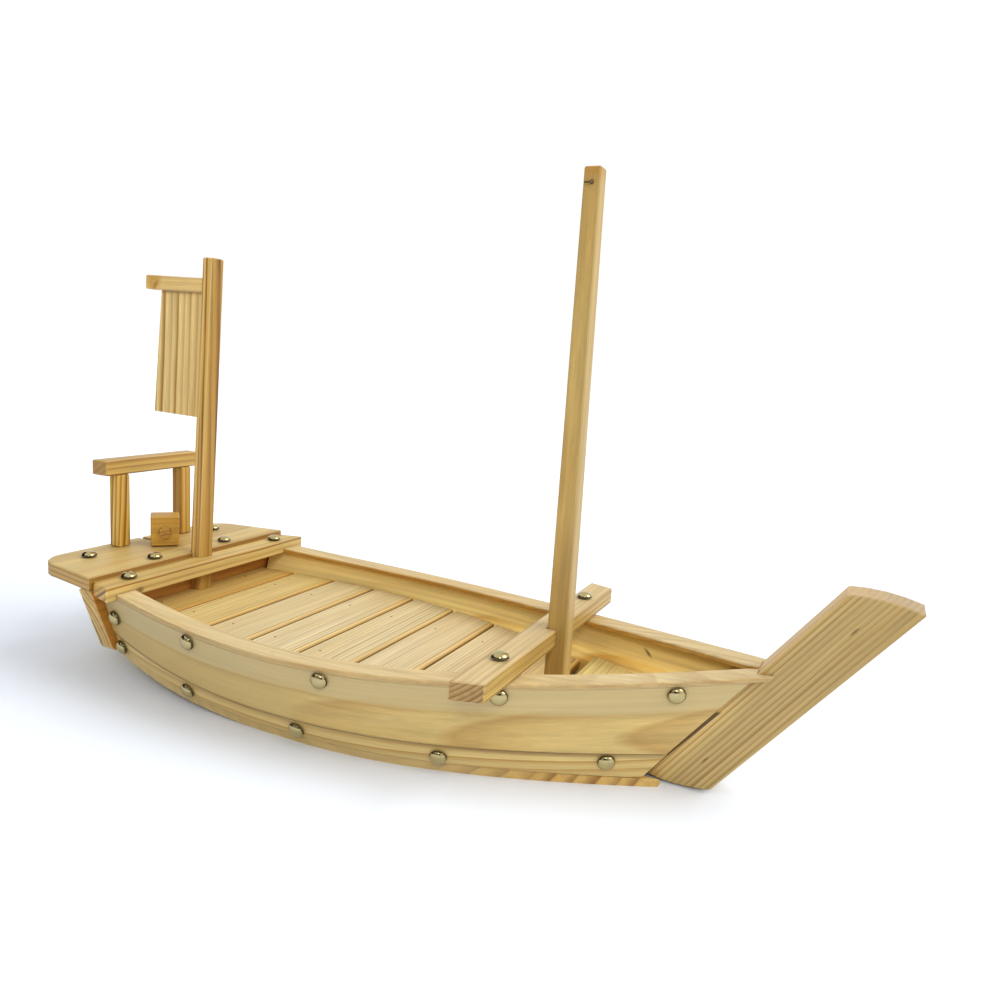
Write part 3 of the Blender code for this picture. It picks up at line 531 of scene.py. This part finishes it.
# Glue lines
# A bead of glue and sawdust fills the joint between each rail and its plank.
# It follows the plank's outer top edge from end to end.
GLUE_RADIUS = 0.00065
GLUE_INSET = 0.0004
GLUE_LIFT = 0.0006
PLANK_TOP_DEPTH = 0.0045
MIDDLE_LINE_POWERS = 6


def mottled(name, scale, pale, dark, smooth, spread, metallic=0.0):
    """A blotched finish: noise mixes its two colours and roughens it from smooth by the spread."""
    made = bpy.data.materials.new(name)
    made.use_nodes = True
    tree = made.node_tree
    shader = tree.nodes["Principled BSDF"]
    shader.inputs["Metallic"].default_value = metallic
    blotch = noise(tree, straight(tree), scale, 3.0)
    tree.links.new(blend(tree, blotch, pale, dark), shader.inputs["Base Color"])
    tree.links.new(calc(tree, "MULTIPLY_ADD", blotch, spread, smooth), shader.inputs["Roughness"])
    return made


def rod(name, points, radius):
    """A round rod along a line of points, as a closed mesh."""
    line = bpy.data.curves.new(name, "CURVE")
    line.dimensions = "3D"
    line.bevel_depth = radius
    line.bevel_resolution = 3
    line.use_fill_caps = True
    spline = line.splines.new("POLY")
    spline.points.add(len(points) - 1)
    for spot, point in zip(spline.points, points):
        spot.co = (*point, 1.0)
    made = bpy.data.objects.new(name, line)
    bpy.context.collection.objects.link(made)
    bpy.ops.object.select_all(action="DESELECT")
    made.select_set(True)
    bpy.context.view_layer.objects.active = made
    bpy.ops.object.convert(target="MESH")
    bpy.ops.object.shade_smooth_by_angle(angle=SMOOTH_ANGLE)
    return bpy.context.active_object


glue = mottled("glue_line", (40.0, 300.0, 300.0), (0.50, 0.38, 0.18, 1.0), (0.38, 0.26, 0.10, 1.0),
               smooth=0.4, spread=0.3)
for side, way in (("starboard", -1), ("port", 1)):
    corners = np.array([vertex.co[:] for vertex in nodes["upper_plank_" + side].data.vertices])
    below = SHEER_LOW + SHEER_BEND * (corners[:, 0] - SHEER_X) ** 2 - corners[:, 2]
    top = corners[below < PLANK_TOP_DEPTH]
    fitted = np.polyfit(top[:, 0], way * top[:, 1], MIDDLE_LINE_POWERS)
    outer = way * top[:, 1] > np.polyval(fitted, top[:, 0])
    edge = np.unique(np.round(top[outer], 6), axis=0)
    bead = rod("glue_line_" + side, edge + (0.0, -way * GLUE_INSET, GLUE_LIFT), GLUE_RADIUS)
    bead.data.materials.append(glue)
    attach(bead, "hull")


# Floor bearers
# Two plain pine battens along the hull, glued inside it under the slats.
# They carry the floor and are hardly seen.
finish(["floor_bearer_port", "floor_bearer_starboard"],
       pine("bearer_pine", tone=(0.50, 0.35, 0.14), grain=LENGTH, pith=(0.0, 0.1, 0.05), ring=0.004))


# Floor slats
# Narrow pine boards across the hull on the two bearers, pinned down with small gaps between them.
# Each is cut from another board, so each has its own pith and spacing of rings.
SLAT_TONES = ((0.545, 0.366, 0.11), (0.565, 0.424, 0.167), (0.56, 0.444, 0.224), (0.58, 0.47, 0.256),
              (0.576, 0.46, 0.242), (0.59, 0.472, 0.258), (0.62, 0.49, 0.26), (0.72, 0.53, 0.234))
AFT = (-1.0, 0.0, 0.0)
SLAT_SIDE = (0.5, 0.38, 0.2)
STRIP_EDGE = (0.0036, 0.0040)
STRIP_TINT = (1.18, 1.04, 0.7, 1.0)
LINE_RISE = (0.0034, 0.0038)
LINE_FALL = (0.0042, 0.0048)
LINE_DARK = (0.30, 0.17, 0.045, 1.0)
PITH_NEAR = 0.05
PITH_STEP = 0.017
PITH_LOW = -0.03
PITH_RISE = 0.023
SLAT_RING = 0.0024
SLAT_RING_STEP = 0.0004
SLAT_TILT = 0.01


def slat_marks(edge):
    """A summer ring along the fore edge, and darker long edges that face the gaps."""
    def marks(tree, colour):
        away = calc(tree, "SUBTRACT", edge, axes(tree)[0])
        strip = grade(tree, away, *STRIP_EDGE, 0.85, 0.0)
        colour = blend(tree, strip, colour, scaled(tree, colour, STRIP_TINT))
        line = calc(tree, "MULTIPLY", grade(tree, away, *LINE_RISE),
                    grade(tree, away, *LINE_FALL, 0.75, 0.0))
        colour = blend(tree, line, colour, LINE_DARK)
        colour = on_face(tree, colour, LENGTH, SLAT_SIDE)
        return on_face(tree, colour, AFT, SLAT_SIDE)
    return marks


for number, tone in enumerate(SLAT_TONES, 1):
    slat = f"floor_slat_{number}"
    low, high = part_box(slat)
    middle = (Vector(low) + Vector(high)) / 2
    reach = PITH_NEAR + PITH_STEP * ((number * 3) % 5)
    drop = PITH_LOW + PITH_RISE * ((number * 2) % 4)
    heart = (middle.x + (reach if number % 2 else -reach), 0.0, middle.z + drop)
    finish([slat],
           pine(f"slat_{number}_pine", tone=tone, grain=CROSS, pith=heart,
                ring=SLAT_RING + SLAT_RING_STEP * (number % 3), contrast=1.1, wander=0.0016,
                tilt=(0.0, 0.0, SLAT_TILT * (number % 3 - 1)), marks=slat_marks(high[0])))


# Slat pins
# Each slat is held to the bearers by two headless steel pins with chamfered tops.
# They are driven in nearly flush and have gone dark.
PIN_RADIUS = 0.0008
PIN_LENGTH = 0.003
PIN_SIDES = 16
PIN_PROUD = 0.00015
PIN_CHAMFER = 0.3
PIN_Y = 0.046
PIN_FROM_EDGE = 0.0085
FLOOR_TOP = 0.0384
FLOOR_SLOPE = 0.0455
bpy.ops.mesh.primitive_cylinder_add(vertices=PIN_SIDES, radius=PIN_RADIUS, depth=PIN_LENGTH)
pin_pattern = bpy.context.active_object
pin_pattern.data.transform(Matrix.Translation((0.0, 0.0, PIN_PROUD - PIN_LENGTH / 2)))
pick(pin_pattern, "FACE", lambda face: face.normal.z > 0.9)
bpy.ops.mesh.inset(thickness=PIN_RADIUS * PIN_CHAMFER)
bpy.ops.transform.translate(value=(0.0, 0.0, PIN_PROUD))
bpy.ops.object.mode_set(mode="OBJECT")
bpy.ops.object.shade_smooth_by_angle(angle=SMOOTH_ANGLE)
pin_pattern.data.materials.append(
    mottled("pin_steel", (900.0, 900.0, 900.0), (0.20, 0.14, 0.08, 1.0), (0.34, 0.22, 0.10, 1.0),
            smooth=0.35, spread=0.3, metallic=0.6))
floor_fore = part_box("floor_slat_8")[1][0]
for number in range(1, 9):
    for side, way in (("starboard", -1), ("port", 1)):
        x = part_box(f"floor_slat_{number}")[0][0] + PIN_FROM_EDGE
        seat = (x, way * PIN_Y, FLOOR_TOP + FLOOR_SLOPE * (floor_fore - x))
        pin = copied(pin_pattern, f"slat_pin_{side}_{number}",
                     Matrix.Translation(seat) @ Matrix.Rotation(FLOOR_SLOPE, 4, "Y"))
        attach(pin, "hull")
bpy.data.objects.remove(pin_pattern)


# Bow board
# The floor ahead of the mast: one pine board across the bow, its grain across the boat.
# It is cut to a wedge and glued between the flared planks.
finish(["bow_board"],
       pine("bow_board_pine", tone=(0.70, 0.55, 0.203), grain=CROSS, pith=(0.05, 0.0, 0.06),
            ring=0.0034, contrast=0.75, wander=0.0016))


# Thwarts
# Two stout pine boards across the hull, both nailed down, the stern one notched over the rails.
# The sawn ends stand out past the sides and show dark slanting rings.
SAWN_WAVER = 0.002
SAWN_DARK = (0.22, 0.12, 0.03, 1.0)
THWART_END = (0.82, 0.77, 0.74)
THWART_FORE = (0.94, 0.85, 0.5)
THWART_LINES = 0.0046
STERN_END = (1.4, 1.38, 1.42)
# Painted shadow: a dark spot where the notch's gap lies in shade.
NOTCH_SHADOW_PLACE = (-0.2083, -0.0775, 0.0715)
NOTCH_SHADOW_SIZE = (0.004, 0.0042, 0.0028)
STRIPED_LATE = (0.5, 0.33, 0.14)


def sawn_lines(tree, colour, face, spacing):
    """Dark lines of summer wood along a sawn edge, one above the other."""
    where = straight(tree)
    wavy = noise(tree, where, (12.0, 12.0, 60.0))
    height = calc(tree, "MULTIPLY_ADD", wavy, SAWN_WAVER, axes(tree, where)[2])
    turn = calc(tree, "FRACT", calc(tree, "DIVIDE", height, spacing))
    line = calc(tree, "MULTIPLY", grade(tree, turn, 0.45, 0.85), grade(tree, turn, 0.88, 1.0, 0.75, 0.0))
    return blend(tree, calc(tree, "MULTIPLY", line, face), colour, SAWN_DARK)


def thwart_marks(tree, colour):
    """The fore face is golden and lined, the ends are darker."""
    colour = on_face(tree, colour, TO_STARBOARD, THWART_END)
    colour = on_face(tree, colour, LENGTH, THWART_FORE)
    return sawn_lines(tree, colour, facing(tree, LENGTH), THWART_LINES)


def stern_thwart_marks(tree, colour):
    """The end is paler, and a painted shadow marks the gap where the notch for the rail is cut wide."""
    colour = on_face(tree, colour, TO_STARBOARD, STERN_END)
    return resin_and_shadow_spot(tree, colour, NOTCH_SHADOW_PLACE, NOTCH_SHADOW_SIZE, 0.0)


finish(["mast_thwart"],
       pine("mast_thwart_pine", tone=(0.51, 0.38, 0.178), grain=CROSS, pith=(0.042, 0.0, 0.128),
            ring=0.0028, contrast=1.1, wander=0.0012, marks=thwart_marks))
finish(["stern_thwart"],
       pine("stern_thwart_pine", tone=(0.51, 0.35, 0.108), grain=CROSS, pith=(-0.26, 0.0, 0.15),
            ring=0.0046, contrast=1.2, wander=0.002, late=STRIPED_LATE, marks=stern_thwart_marks))


# Stern deck
# A flat-sawn pine board across the stern, nailed down at its corners.
# It shows broad figure on top and rings along its sawn ends.
DECK_EDGE_TURN = (0.4, 0.75)
DECK_EDGE = (0.55, 0.32, 0.08, 1.0)
DECK_FORE = (0.55, 0.45, 0.28)
DECK_LINES = 0.0036


def deck_marks(tree, colour):
    """Thin dark lines run round the sawn edge."""
    edge = grade(tree, calc(tree, "ABSOLUTE", looks(tree, UPRIGHT)), *DECK_EDGE_TURN, 1.0, 0.0)
    colour = blend(tree, edge, colour, DECK_EDGE)
    colour = on_face(tree, colour, LENGTH, DECK_FORE)
    return sawn_lines(tree, colour, edge, DECK_LINES)


finish(["stern_deck"],
       pine("deck_pine", tone=(0.53, 0.385, 0.14), grain=CROSS, pith=(-0.27, 0.0, -0.15),
            ring=0.0028, contrast=1.1, wander=0.0005, tilt=(0.0, 0.006, 0.0), marks=deck_marks))


# Stern gate
# Two posts and a crossbar sawn from one darker, close-ringed pine batten.
# The posts stand on the deck, and the bar is glued across their tops.
GATE_LATE = (0.36, 0.21, 0.07)
GATE_FORE = (0.71, 0.67, 0.55)
CROSSBAR_END = (0.45, 0.26, 0.085, 1.0)


def gate_marks(tree, colour):
    """The fore faces are darker."""
    return on_face(tree, colour, LENGTH, GATE_FORE)


def crossbar_marks(tree, colour):
    """The sawn end is plain brown."""
    return blend(tree, facing(tree, TO_STARBOARD, 0.7), colour, CROSSBAR_END)


finish(["gate_post_starboard"],
       pine("gate_post_starboard_pine", tone=(0.77, 0.5, 0.105), grain=UPRIGHT, pith=(-0.31, -0.05, 0.1),
            ring=0.0036, contrast=1.7, wander=0.0012, tilt=(0.0, 0.03, 0.02), late=GATE_LATE,
            marks=gate_marks))
finish(["gate_post_port"],
       pine("gate_post_port_pine", tone=(0.48, 0.285, 0.045), grain=UPRIGHT, pith=(-0.33, 0.10, 0.1),
            ring=0.0032, contrast=1.4, wander=0.0015, late=STRIPED_LATE))
finish(["gate_crossbar"],
       pine("crossbar_pine", tone=(0.50, 0.315, 0.071), grain=CROSS, pith=(-0.25, 0.0, 0.09),
            ring=0.0046, contrast=1.1, wander=0.002, late=STRIPED_LATE, marks=crossbar_marks))


# Swivel block
# A small reddish cube of pine that turns on its own spigot, just clear of the deck.
# A round dowel is glued into its face.
finish(["swivel_block"],
       pine("block_pine", tone=(0.485, 0.265, 0.031), grain=(0.69, 0.72, 0.0), pith=(-0.25, 0.03, 0.16),
            ring=0.004, contrast=0.5, wander=0.0015))
finish(["swivel_peg"],
       pine("peg_pine", tone=(0.56, 0.33, 0.07), grain=(0.72, -0.69, 0.0), pith=(-0.27, 0.01, 0.07),
            ring=0.0016, contrast=1.2, wander=0.001))


# Sail rig
# A square post, a yard and a thin board for a sail, all with strong upright or lengthwise rings.
# The board is let into the yard, the yard is glued to the post, and the post stands in a thwart.
POST_LEAN = 0.0227
POST_LINES = (0.0032, 0.0098)
POST_LINE_WIDTH = (0.0004, 0.0011)
POST_LINE = (0.76, 0.54, 0.2, 1.0)
POST_FORE = (0.61, 0.57, 0.34)
# Brown wood round a knot, and the knot: place, size, turn and colour.
YARD_KNOT = (((-0.2785, 0.0, 0.2965), (0.0085, 0.03, 0.0110), 0.5, (0.58, 0.33, 0.065, 1.0)),
             ((-0.2765, 0.0, 0.2935), (0.0022, 0.03, 0.0050), 0.6, (0.42, 0.20, 0.04, 1.0)))
# Painted shadow on the sail board under the yard.
SAIL_SEAM_SHADOW = (0.30, 0.18, 0.05, 1.0)
SAIL_SEAM_BELOW = 0.0022
SAIL_SEAM_ABOVE = 0.0005
post_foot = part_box("sail_post")[0]
yard_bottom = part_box("yard")[0][2]


def post_marks(tree, colour):
    """Two pale spring rings up the near face, and darker wood on the fore face."""
    x, _, z = axes(tree)
    edge = calc(tree, "MULTIPLY_ADD", z, POST_LEAN, post_foot[0] - POST_LEAN * post_foot[2])
    across = calc(tree, "SUBTRACT", x, edge)
    for line in POST_LINES:
        off = calc(tree, "ABSOLUTE", calc(tree, "SUBTRACT", across, line))
        colour = blend(tree, grade(tree, off, *POST_LINE_WIDTH, 0.8, 0.0), colour, POST_LINE)
    return on_face(tree, colour, LENGTH, POST_FORE)


def yard_marks(tree, colour):
    """Brown wood round a knot at the aft end."""
    for where, size, turn, shade in YARD_KNOT:
        colour = resin_and_shadow_spot(tree, colour, where, size, turn, shade)
    return colour


def sail_marks(tree, colour):
    """A painted shadow under the yard, where the board is let into it."""
    seam = grade(tree, axes(tree)[2], yard_bottom - SAIL_SEAM_BELOW, yard_bottom + SAIL_SEAM_ABOVE,
                 0.0, 0.7)
    return blend(tree, seam, colour, SAIL_SEAM_SHADOW)


finish(["sail_post"],
       pine("sail_post_pine", tone=(0.62, 0.375, 0.098), grain=UPRIGHT, pith=(-0.285, -0.03, 0.2),
            ring=0.0040, contrast=1.5, wander=0.0012, tilt=(0.0, 0.01, 0.012), late=GATE_LATE,
            marks=post_marks))
finish(["yard"],
       pine("yard_pine", tone=(0.74, 0.51, 0.195), grain=LENGTH, pith=(-0.26, 0.05, 0.23),
            ring=0.005, contrast=0.35, wander=0.002, late=STRIPED_LATE, marks=yard_marks))
finish(["sail_board"],
       pine("sail_pine", tone=(0.76, 0.54, 0.215), grain=UPRIGHT, pith=(-0.38, -0.03, 0.24),
            ring=0.0066, contrast=1.15, wander=0.0024, tilt=(0.0, 0.01, 0.05), late=STRIPED_LATE,
            uneven=0.7, marks=sail_marks))


# Mast
# A square pine pole tapered to the head, which stands loose in the thwart's notch.
# A tongue of summer wood ends halfway down its near face.
MAST_LATE = (0.84, 0.70, 0.48)
# Painted light on the mast's fore face.
MAST_FORE_LIGHT = (0.97, 1.04, 1.36)
MAST_HEAD = (0.96, 0.74, 0.45, 1.0)
HEAD_START = 0.009
HEAD_END = 0.003
mast_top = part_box("mast")[1][2]


def mast_marks(tree, colour):
    """The head has gone brown, and the fore face is painted paler, as the light from the bow falls on it.
    """
    head = grade(tree, axes(tree)[2], mast_top - HEAD_START, mast_top - HEAD_END, 0.0, 0.7)
    colour = blend(tree, head, colour, scaled(tree, colour, MAST_HEAD))
    return on_face(tree, colour, LENGTH, MAST_FORE_LIGHT)


finish(["mast"],
       pine("mast_pine", tone=(0.443, 0.287, 0.079), grain=UPRIGHT, pith=(0.089, 0.055, 0.145),
            ring=0.0103, contrast=0.7, wander=0.0006, tilt=(0.0, 0.0, 0.035), late=MAST_LATE,
            uneven=0.0, marks=mast_marks))


# Mast hook
# A small hook of dark brass wire with a flattened ball at its foot.
# It is screwed into the mast's near face, a little below the head.
HOOK_WIRE = 0.0006
HOOK_SUNK = 0.003
HOOK_OUT = 0.0022
HOOK_LENGTH = 0.0042
HOOK_BEND = 0.0012
HOOK_BEND_POINTS = 6
HOOK_DOWN = 0.0098
HOOK_ACROSS = 0.0005
HOOK_BALL = 0.0013
HOOK_BALL_OUT = 0.0008
HOOK_BALL_UP = 0.0004
HOOK_BALL_FLAT = 0.8
MAST_TOP_DEPTH = 0.002
BRASS_BLOTCH = (260.0, 260.0, 260.0)
BRASS_SMOOTH = 0.05
BRASS_SPREAD = 0.10
mast_points = [vertex.co for vertex in nodes["mast"].data.vertices]
mast_face = [point for point in mast_points if point.z > mast_top - MAST_TOP_DEPTH]
hook_x = sum(point.x for point in mast_face) / len(mast_face) + HOOK_ACROSS
hook_y = min(point.y for point in mast_face)
hook_z = mast_top - HOOK_DOWN
hook_path = [(hook_x, hook_y + HOOK_SUNK, hook_z)]
for turn in np.linspace(0.0, math.pi / 2, HOOK_BEND_POINTS):
    hook_path.append((hook_x - HOOK_BEND * (1 - math.cos(turn)),
                      hook_y - HOOK_OUT + HOOK_BEND * (1 - math.sin(turn)), hook_z))
hook_path.append((hook_x - HOOK_LENGTH, hook_y - HOOK_OUT, hook_z))
hook = rod("mast_hook", hook_path, HOOK_WIRE)
bpy.ops.object.select_all(action="DESELECT")
bpy.ops.mesh.primitive_uv_sphere_add(segments=20, ring_count=12, radius=HOOK_BALL,
                                     location=(hook_x, hook_y - HOOK_BALL_OUT, hook_z + HOOK_BALL_UP))
bpy.ops.transform.resize(value=(1.0, HOOK_BALL_FLAT, 1.0))
bpy.ops.object.transform_apply(location=True, rotation=False, scale=True)
bpy.ops.object.shade_smooth_by_angle(angle=SMOOTH_ANGLE)
hook.select_set(True)
bpy.context.view_layer.objects.active = hook
bpy.ops.object.join()
dark_brass_and_rim_shade = mottled("nail_rim", BRASS_BLOTCH, (0.16, 0.125, 0.06, 1.0), (0.09, 0.07, 0.03, 1.0),
                     BRASS_SMOOTH, BRASS_SPREAD, metallic=1.0)
hook.data.materials.append(dark_brass_and_rim_shade)
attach(hook, "mast")


# Nails
# Round-headed brass nails, pressed from sheet: a polished dome with a turned-in rim, darkened partly as
# tarnish and partly as painted shade.
# Each is driven through a timber's face and stands where the CAD's nail stands.
NAIL_RADIUS = 0.0056
NAIL_DOME = 0.0036
NAIL_RIM = 0.58
RIM_DEPTH = 0.0003
RIM_TAPER = 0.93
brass = mottled("nail_brass", BRASS_BLOTCH, (0.52, 0.44, 0.22, 1.0), (0.40, 0.32, 0.14, 1.0),
                BRASS_SMOOTH, BRASS_SPREAD, metallic=1.0)
bpy.ops.mesh.primitive_uv_sphere_add(segments=32, ring_count=20, radius=NAIL_RADIUS)
nail_pattern = bpy.context.active_object
bpy.ops.object.mode_set(mode="EDIT")
bpy.ops.mesh.select_all(action="SELECT")
bpy.ops.mesh.bisect(plane_co=(0.0, 0.0, 0.0), plane_no=UPRIGHT, use_fill=True, clear_inner=True)
bpy.ops.mesh.select_all(action="SELECT")
bpy.ops.transform.resize(value=(1.0, 1.0, NAIL_DOME / NAIL_RADIUS))
bpy.ops.object.mode_set(mode="OBJECT")
pick(nail_pattern, "FACE", lambda face: face.normal.z < -0.9)
bpy.ops.mesh.extrude_region_move(TRANSFORM_OT_translate={"value": (0.0, 0.0, -RIM_DEPTH)})
bpy.ops.transform.resize(value=(RIM_TAPER, RIM_TAPER, 1.0))
bpy.ops.object.mode_set(mode="OBJECT")
bpy.ops.object.shade_smooth_by_angle(angle=SMOOTH_ANGLE)
nail_pattern.data.materials.append(brass)
nail_pattern.data.materials.append(dark_brass_and_rim_shade)
# The rim's faces take the dark brass: partly tarnish, partly painted shade and dark reflection where the
# dome turns under.
for face in nail_pattern.data.polygons:
    face.material_index = int(face.center.z < NAIL_RIM * NAIL_DOME)


def nail_place(node):
    """Where a nail stands: its turning axis is the odd one of its three main directions."""
    points = np.array([vertex.co[:] for vertex in nodes[node].data.vertices])
    middle = points.mean(axis=0)
    values, directions = np.linalg.eigh(np.cov((points - middle).T))
    odd = 0 if values[1] - values[0] > values[2] - values[1] else 2
    axis = Vector(directions[:, odd])
    along = (points - middle) @ np.array(axis)
    wide = np.linalg.norm(points - middle - np.outer(along, np.array(axis)), axis=1)
    brim = along[wide > 0.9 * wide.max()].mean()
    if brim - along.min() < along.max() - brim:
        axis, brim = -axis, -brim
    return Vector(middle) + axis * float(brim), axis


for node in sorted(nodes):
    if node.startswith("nail_"):
        seat, axis = nail_place(node)
        turn = axis.to_track_quat("Z", "Y").to_matrix().to_4x4()
        dome = copied(nail_pattern, node.replace("nail_", "dome_"), Matrix.Translation(seat) @ turn)
        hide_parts(node)
        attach(dome, "hull")
bpy.data.objects.remove(nail_pattern)


# Studio
# A white floor under a white sky, with a broad sun high off the bow and a weak lamp before the near side.
# A grey curtain in front and a dark flag off the stern shade the near side, and a dark card beside the
# camera shows as a dark spot in the nails. The camera sees none of the three.
STUDIO_ROUGHNESS = 0.9
FLOOR_SIZE = 12.0
FLOOR_WHITE = (0.84, 0.89, 0.97, 1.0)
CURTAIN_GREY = (0.3, 0.3, 0.32, 1.0)
CARD_BLACK = (0.01, 0.01, 0.01, 1.0)
SKY_WHITE = (1.0, 1.0, 1.0, 1.0)
SKY_STRENGTH = 1.03
SUN_ENERGY = 1.5
SUN_ANGLE = math.radians(40)
SUN_FROM = (0.95, 0.3, 0.95)
LAMP_PLACE = (0.42, -0.85, 0.65)
LAMP_SIZE = 0.3
LAMP_ENERGY = 2.8


def matt(name, colour):
    """A plain matt finish."""
    made = bpy.data.materials.new(name)
    made.use_nodes = True
    shader = made.node_tree.nodes["Principled BSDF"]
    shader.inputs["Base Color"].default_value = colour
    shader.inputs["Roughness"].default_value = STUDIO_ROUGHNESS
    return made


def board(name, paint, where, size, heading, lean):
    """A flat board that the camera doesn't see, leaned up from the floor and then turned, in degrees."""
    bpy.ops.mesh.primitive_plane_add(size=1.0)
    made = bpy.context.active_object
    made.name = name
    made.data.transform(Matrix.Translation(where) @ Matrix.Rotation(math.radians(heading), 4, "Z")
                        @ Matrix.Rotation(math.radians(lean), 4, "X")
                        @ Matrix.Diagonal((*size, 1.0, 1.0)))
    made.data.materials.append(paint)
    made.visible_camera = False
    return made


bpy.ops.mesh.primitive_plane_add(size=FLOOR_SIZE)
floor = bpy.context.active_object
floor.name = "studio_floor"
floor.data.materials.append(matt("studio_white", FLOOR_WHITE))
board("grey_curtain", matt("studio_grey", CURTAIN_GREY), (0.0, -1.9, 0.88), (5.0, 1.3), heading=0, lean=90)
black = matt("studio_black", CARD_BLACK)
card = board("dark_card", black, (0.285, -0.547, 0.268), (0.30, 0.32), heading=24.3, lean=80)
card.visible_diffuse = False
card.visible_shadow = False
board("dark_flag", black, (-0.60, -0.33, 0.30), (0.8, 0.42), heading=90, lean=90)

sky = bpy.data.worlds.new("studio_sky")
sky.use_nodes = True
sky.node_tree.nodes["Background"].inputs["Color"].default_value = SKY_WHITE
sky.node_tree.nodes["Background"].inputs["Strength"].default_value = SKY_STRENGTH
bpy.context.scene.world = sky

bpy.ops.object.light_add(type="SUN")
sun = bpy.context.active_object
sun.data.energy = SUN_ENERGY
sun.data.angle = SUN_ANGLE
sun.rotation_euler = Vector(SUN_FROM).to_track_quat("Z", "Y").to_euler()
bpy.ops.object.light_add(type="AREA", location=LAMP_PLACE)
lamp = bpy.context.active_object
lamp.data.shape = "DISK"
lamp.data.size = LAMP_SIZE
lamp.data.energy = LAMP_ENERGY
lamp.rotation_euler = lamp.location.to_track_quat("Z", "Y").to_euler()


# Camera
# Level with the mast's middle, off the starboard bow, and rolled a little as the photograph is.
# Its place, turn and lens were fitted to the boat's straight timbers.
CAMERA_PLACE = (0.2625, -0.4957, 0.2579)
CAMERA_AZIMUTH = math.radians(24.328)
CAMERA_ELEVATION = math.radians(10.069)
CAMERA_ROLL = math.radians(3.881)
CAMERA_LENS = 29.645
CAMERA_SENSOR = 36.0
CAMERA_NEAR = 0.01
bpy.ops.object.camera_add(location=CAMERA_PLACE)
camera = bpy.context.active_object
back = Vector((math.sin(CAMERA_AZIMUTH) * math.cos(CAMERA_ELEVATION),
               -math.cos(CAMERA_AZIMUTH) * math.cos(CAMERA_ELEVATION), math.sin(CAMERA_ELEVATION)))
aimed = back.to_track_quat("Z", "Y").to_matrix().to_4x4() @ Matrix.Rotation(CAMERA_ROLL, 4, "Z")
camera.matrix_world = Matrix.Translation(CAMERA_PLACE) @ aimed
camera.data.lens = CAMERA_LENS
camera.data.sensor_width = CAMERA_SENSOR
camera.data.clip_start = CAMERA_NEAR
bpy.context.scene.camera = camera
bpy.context.scene.view_settings.view_transform = "Standard"
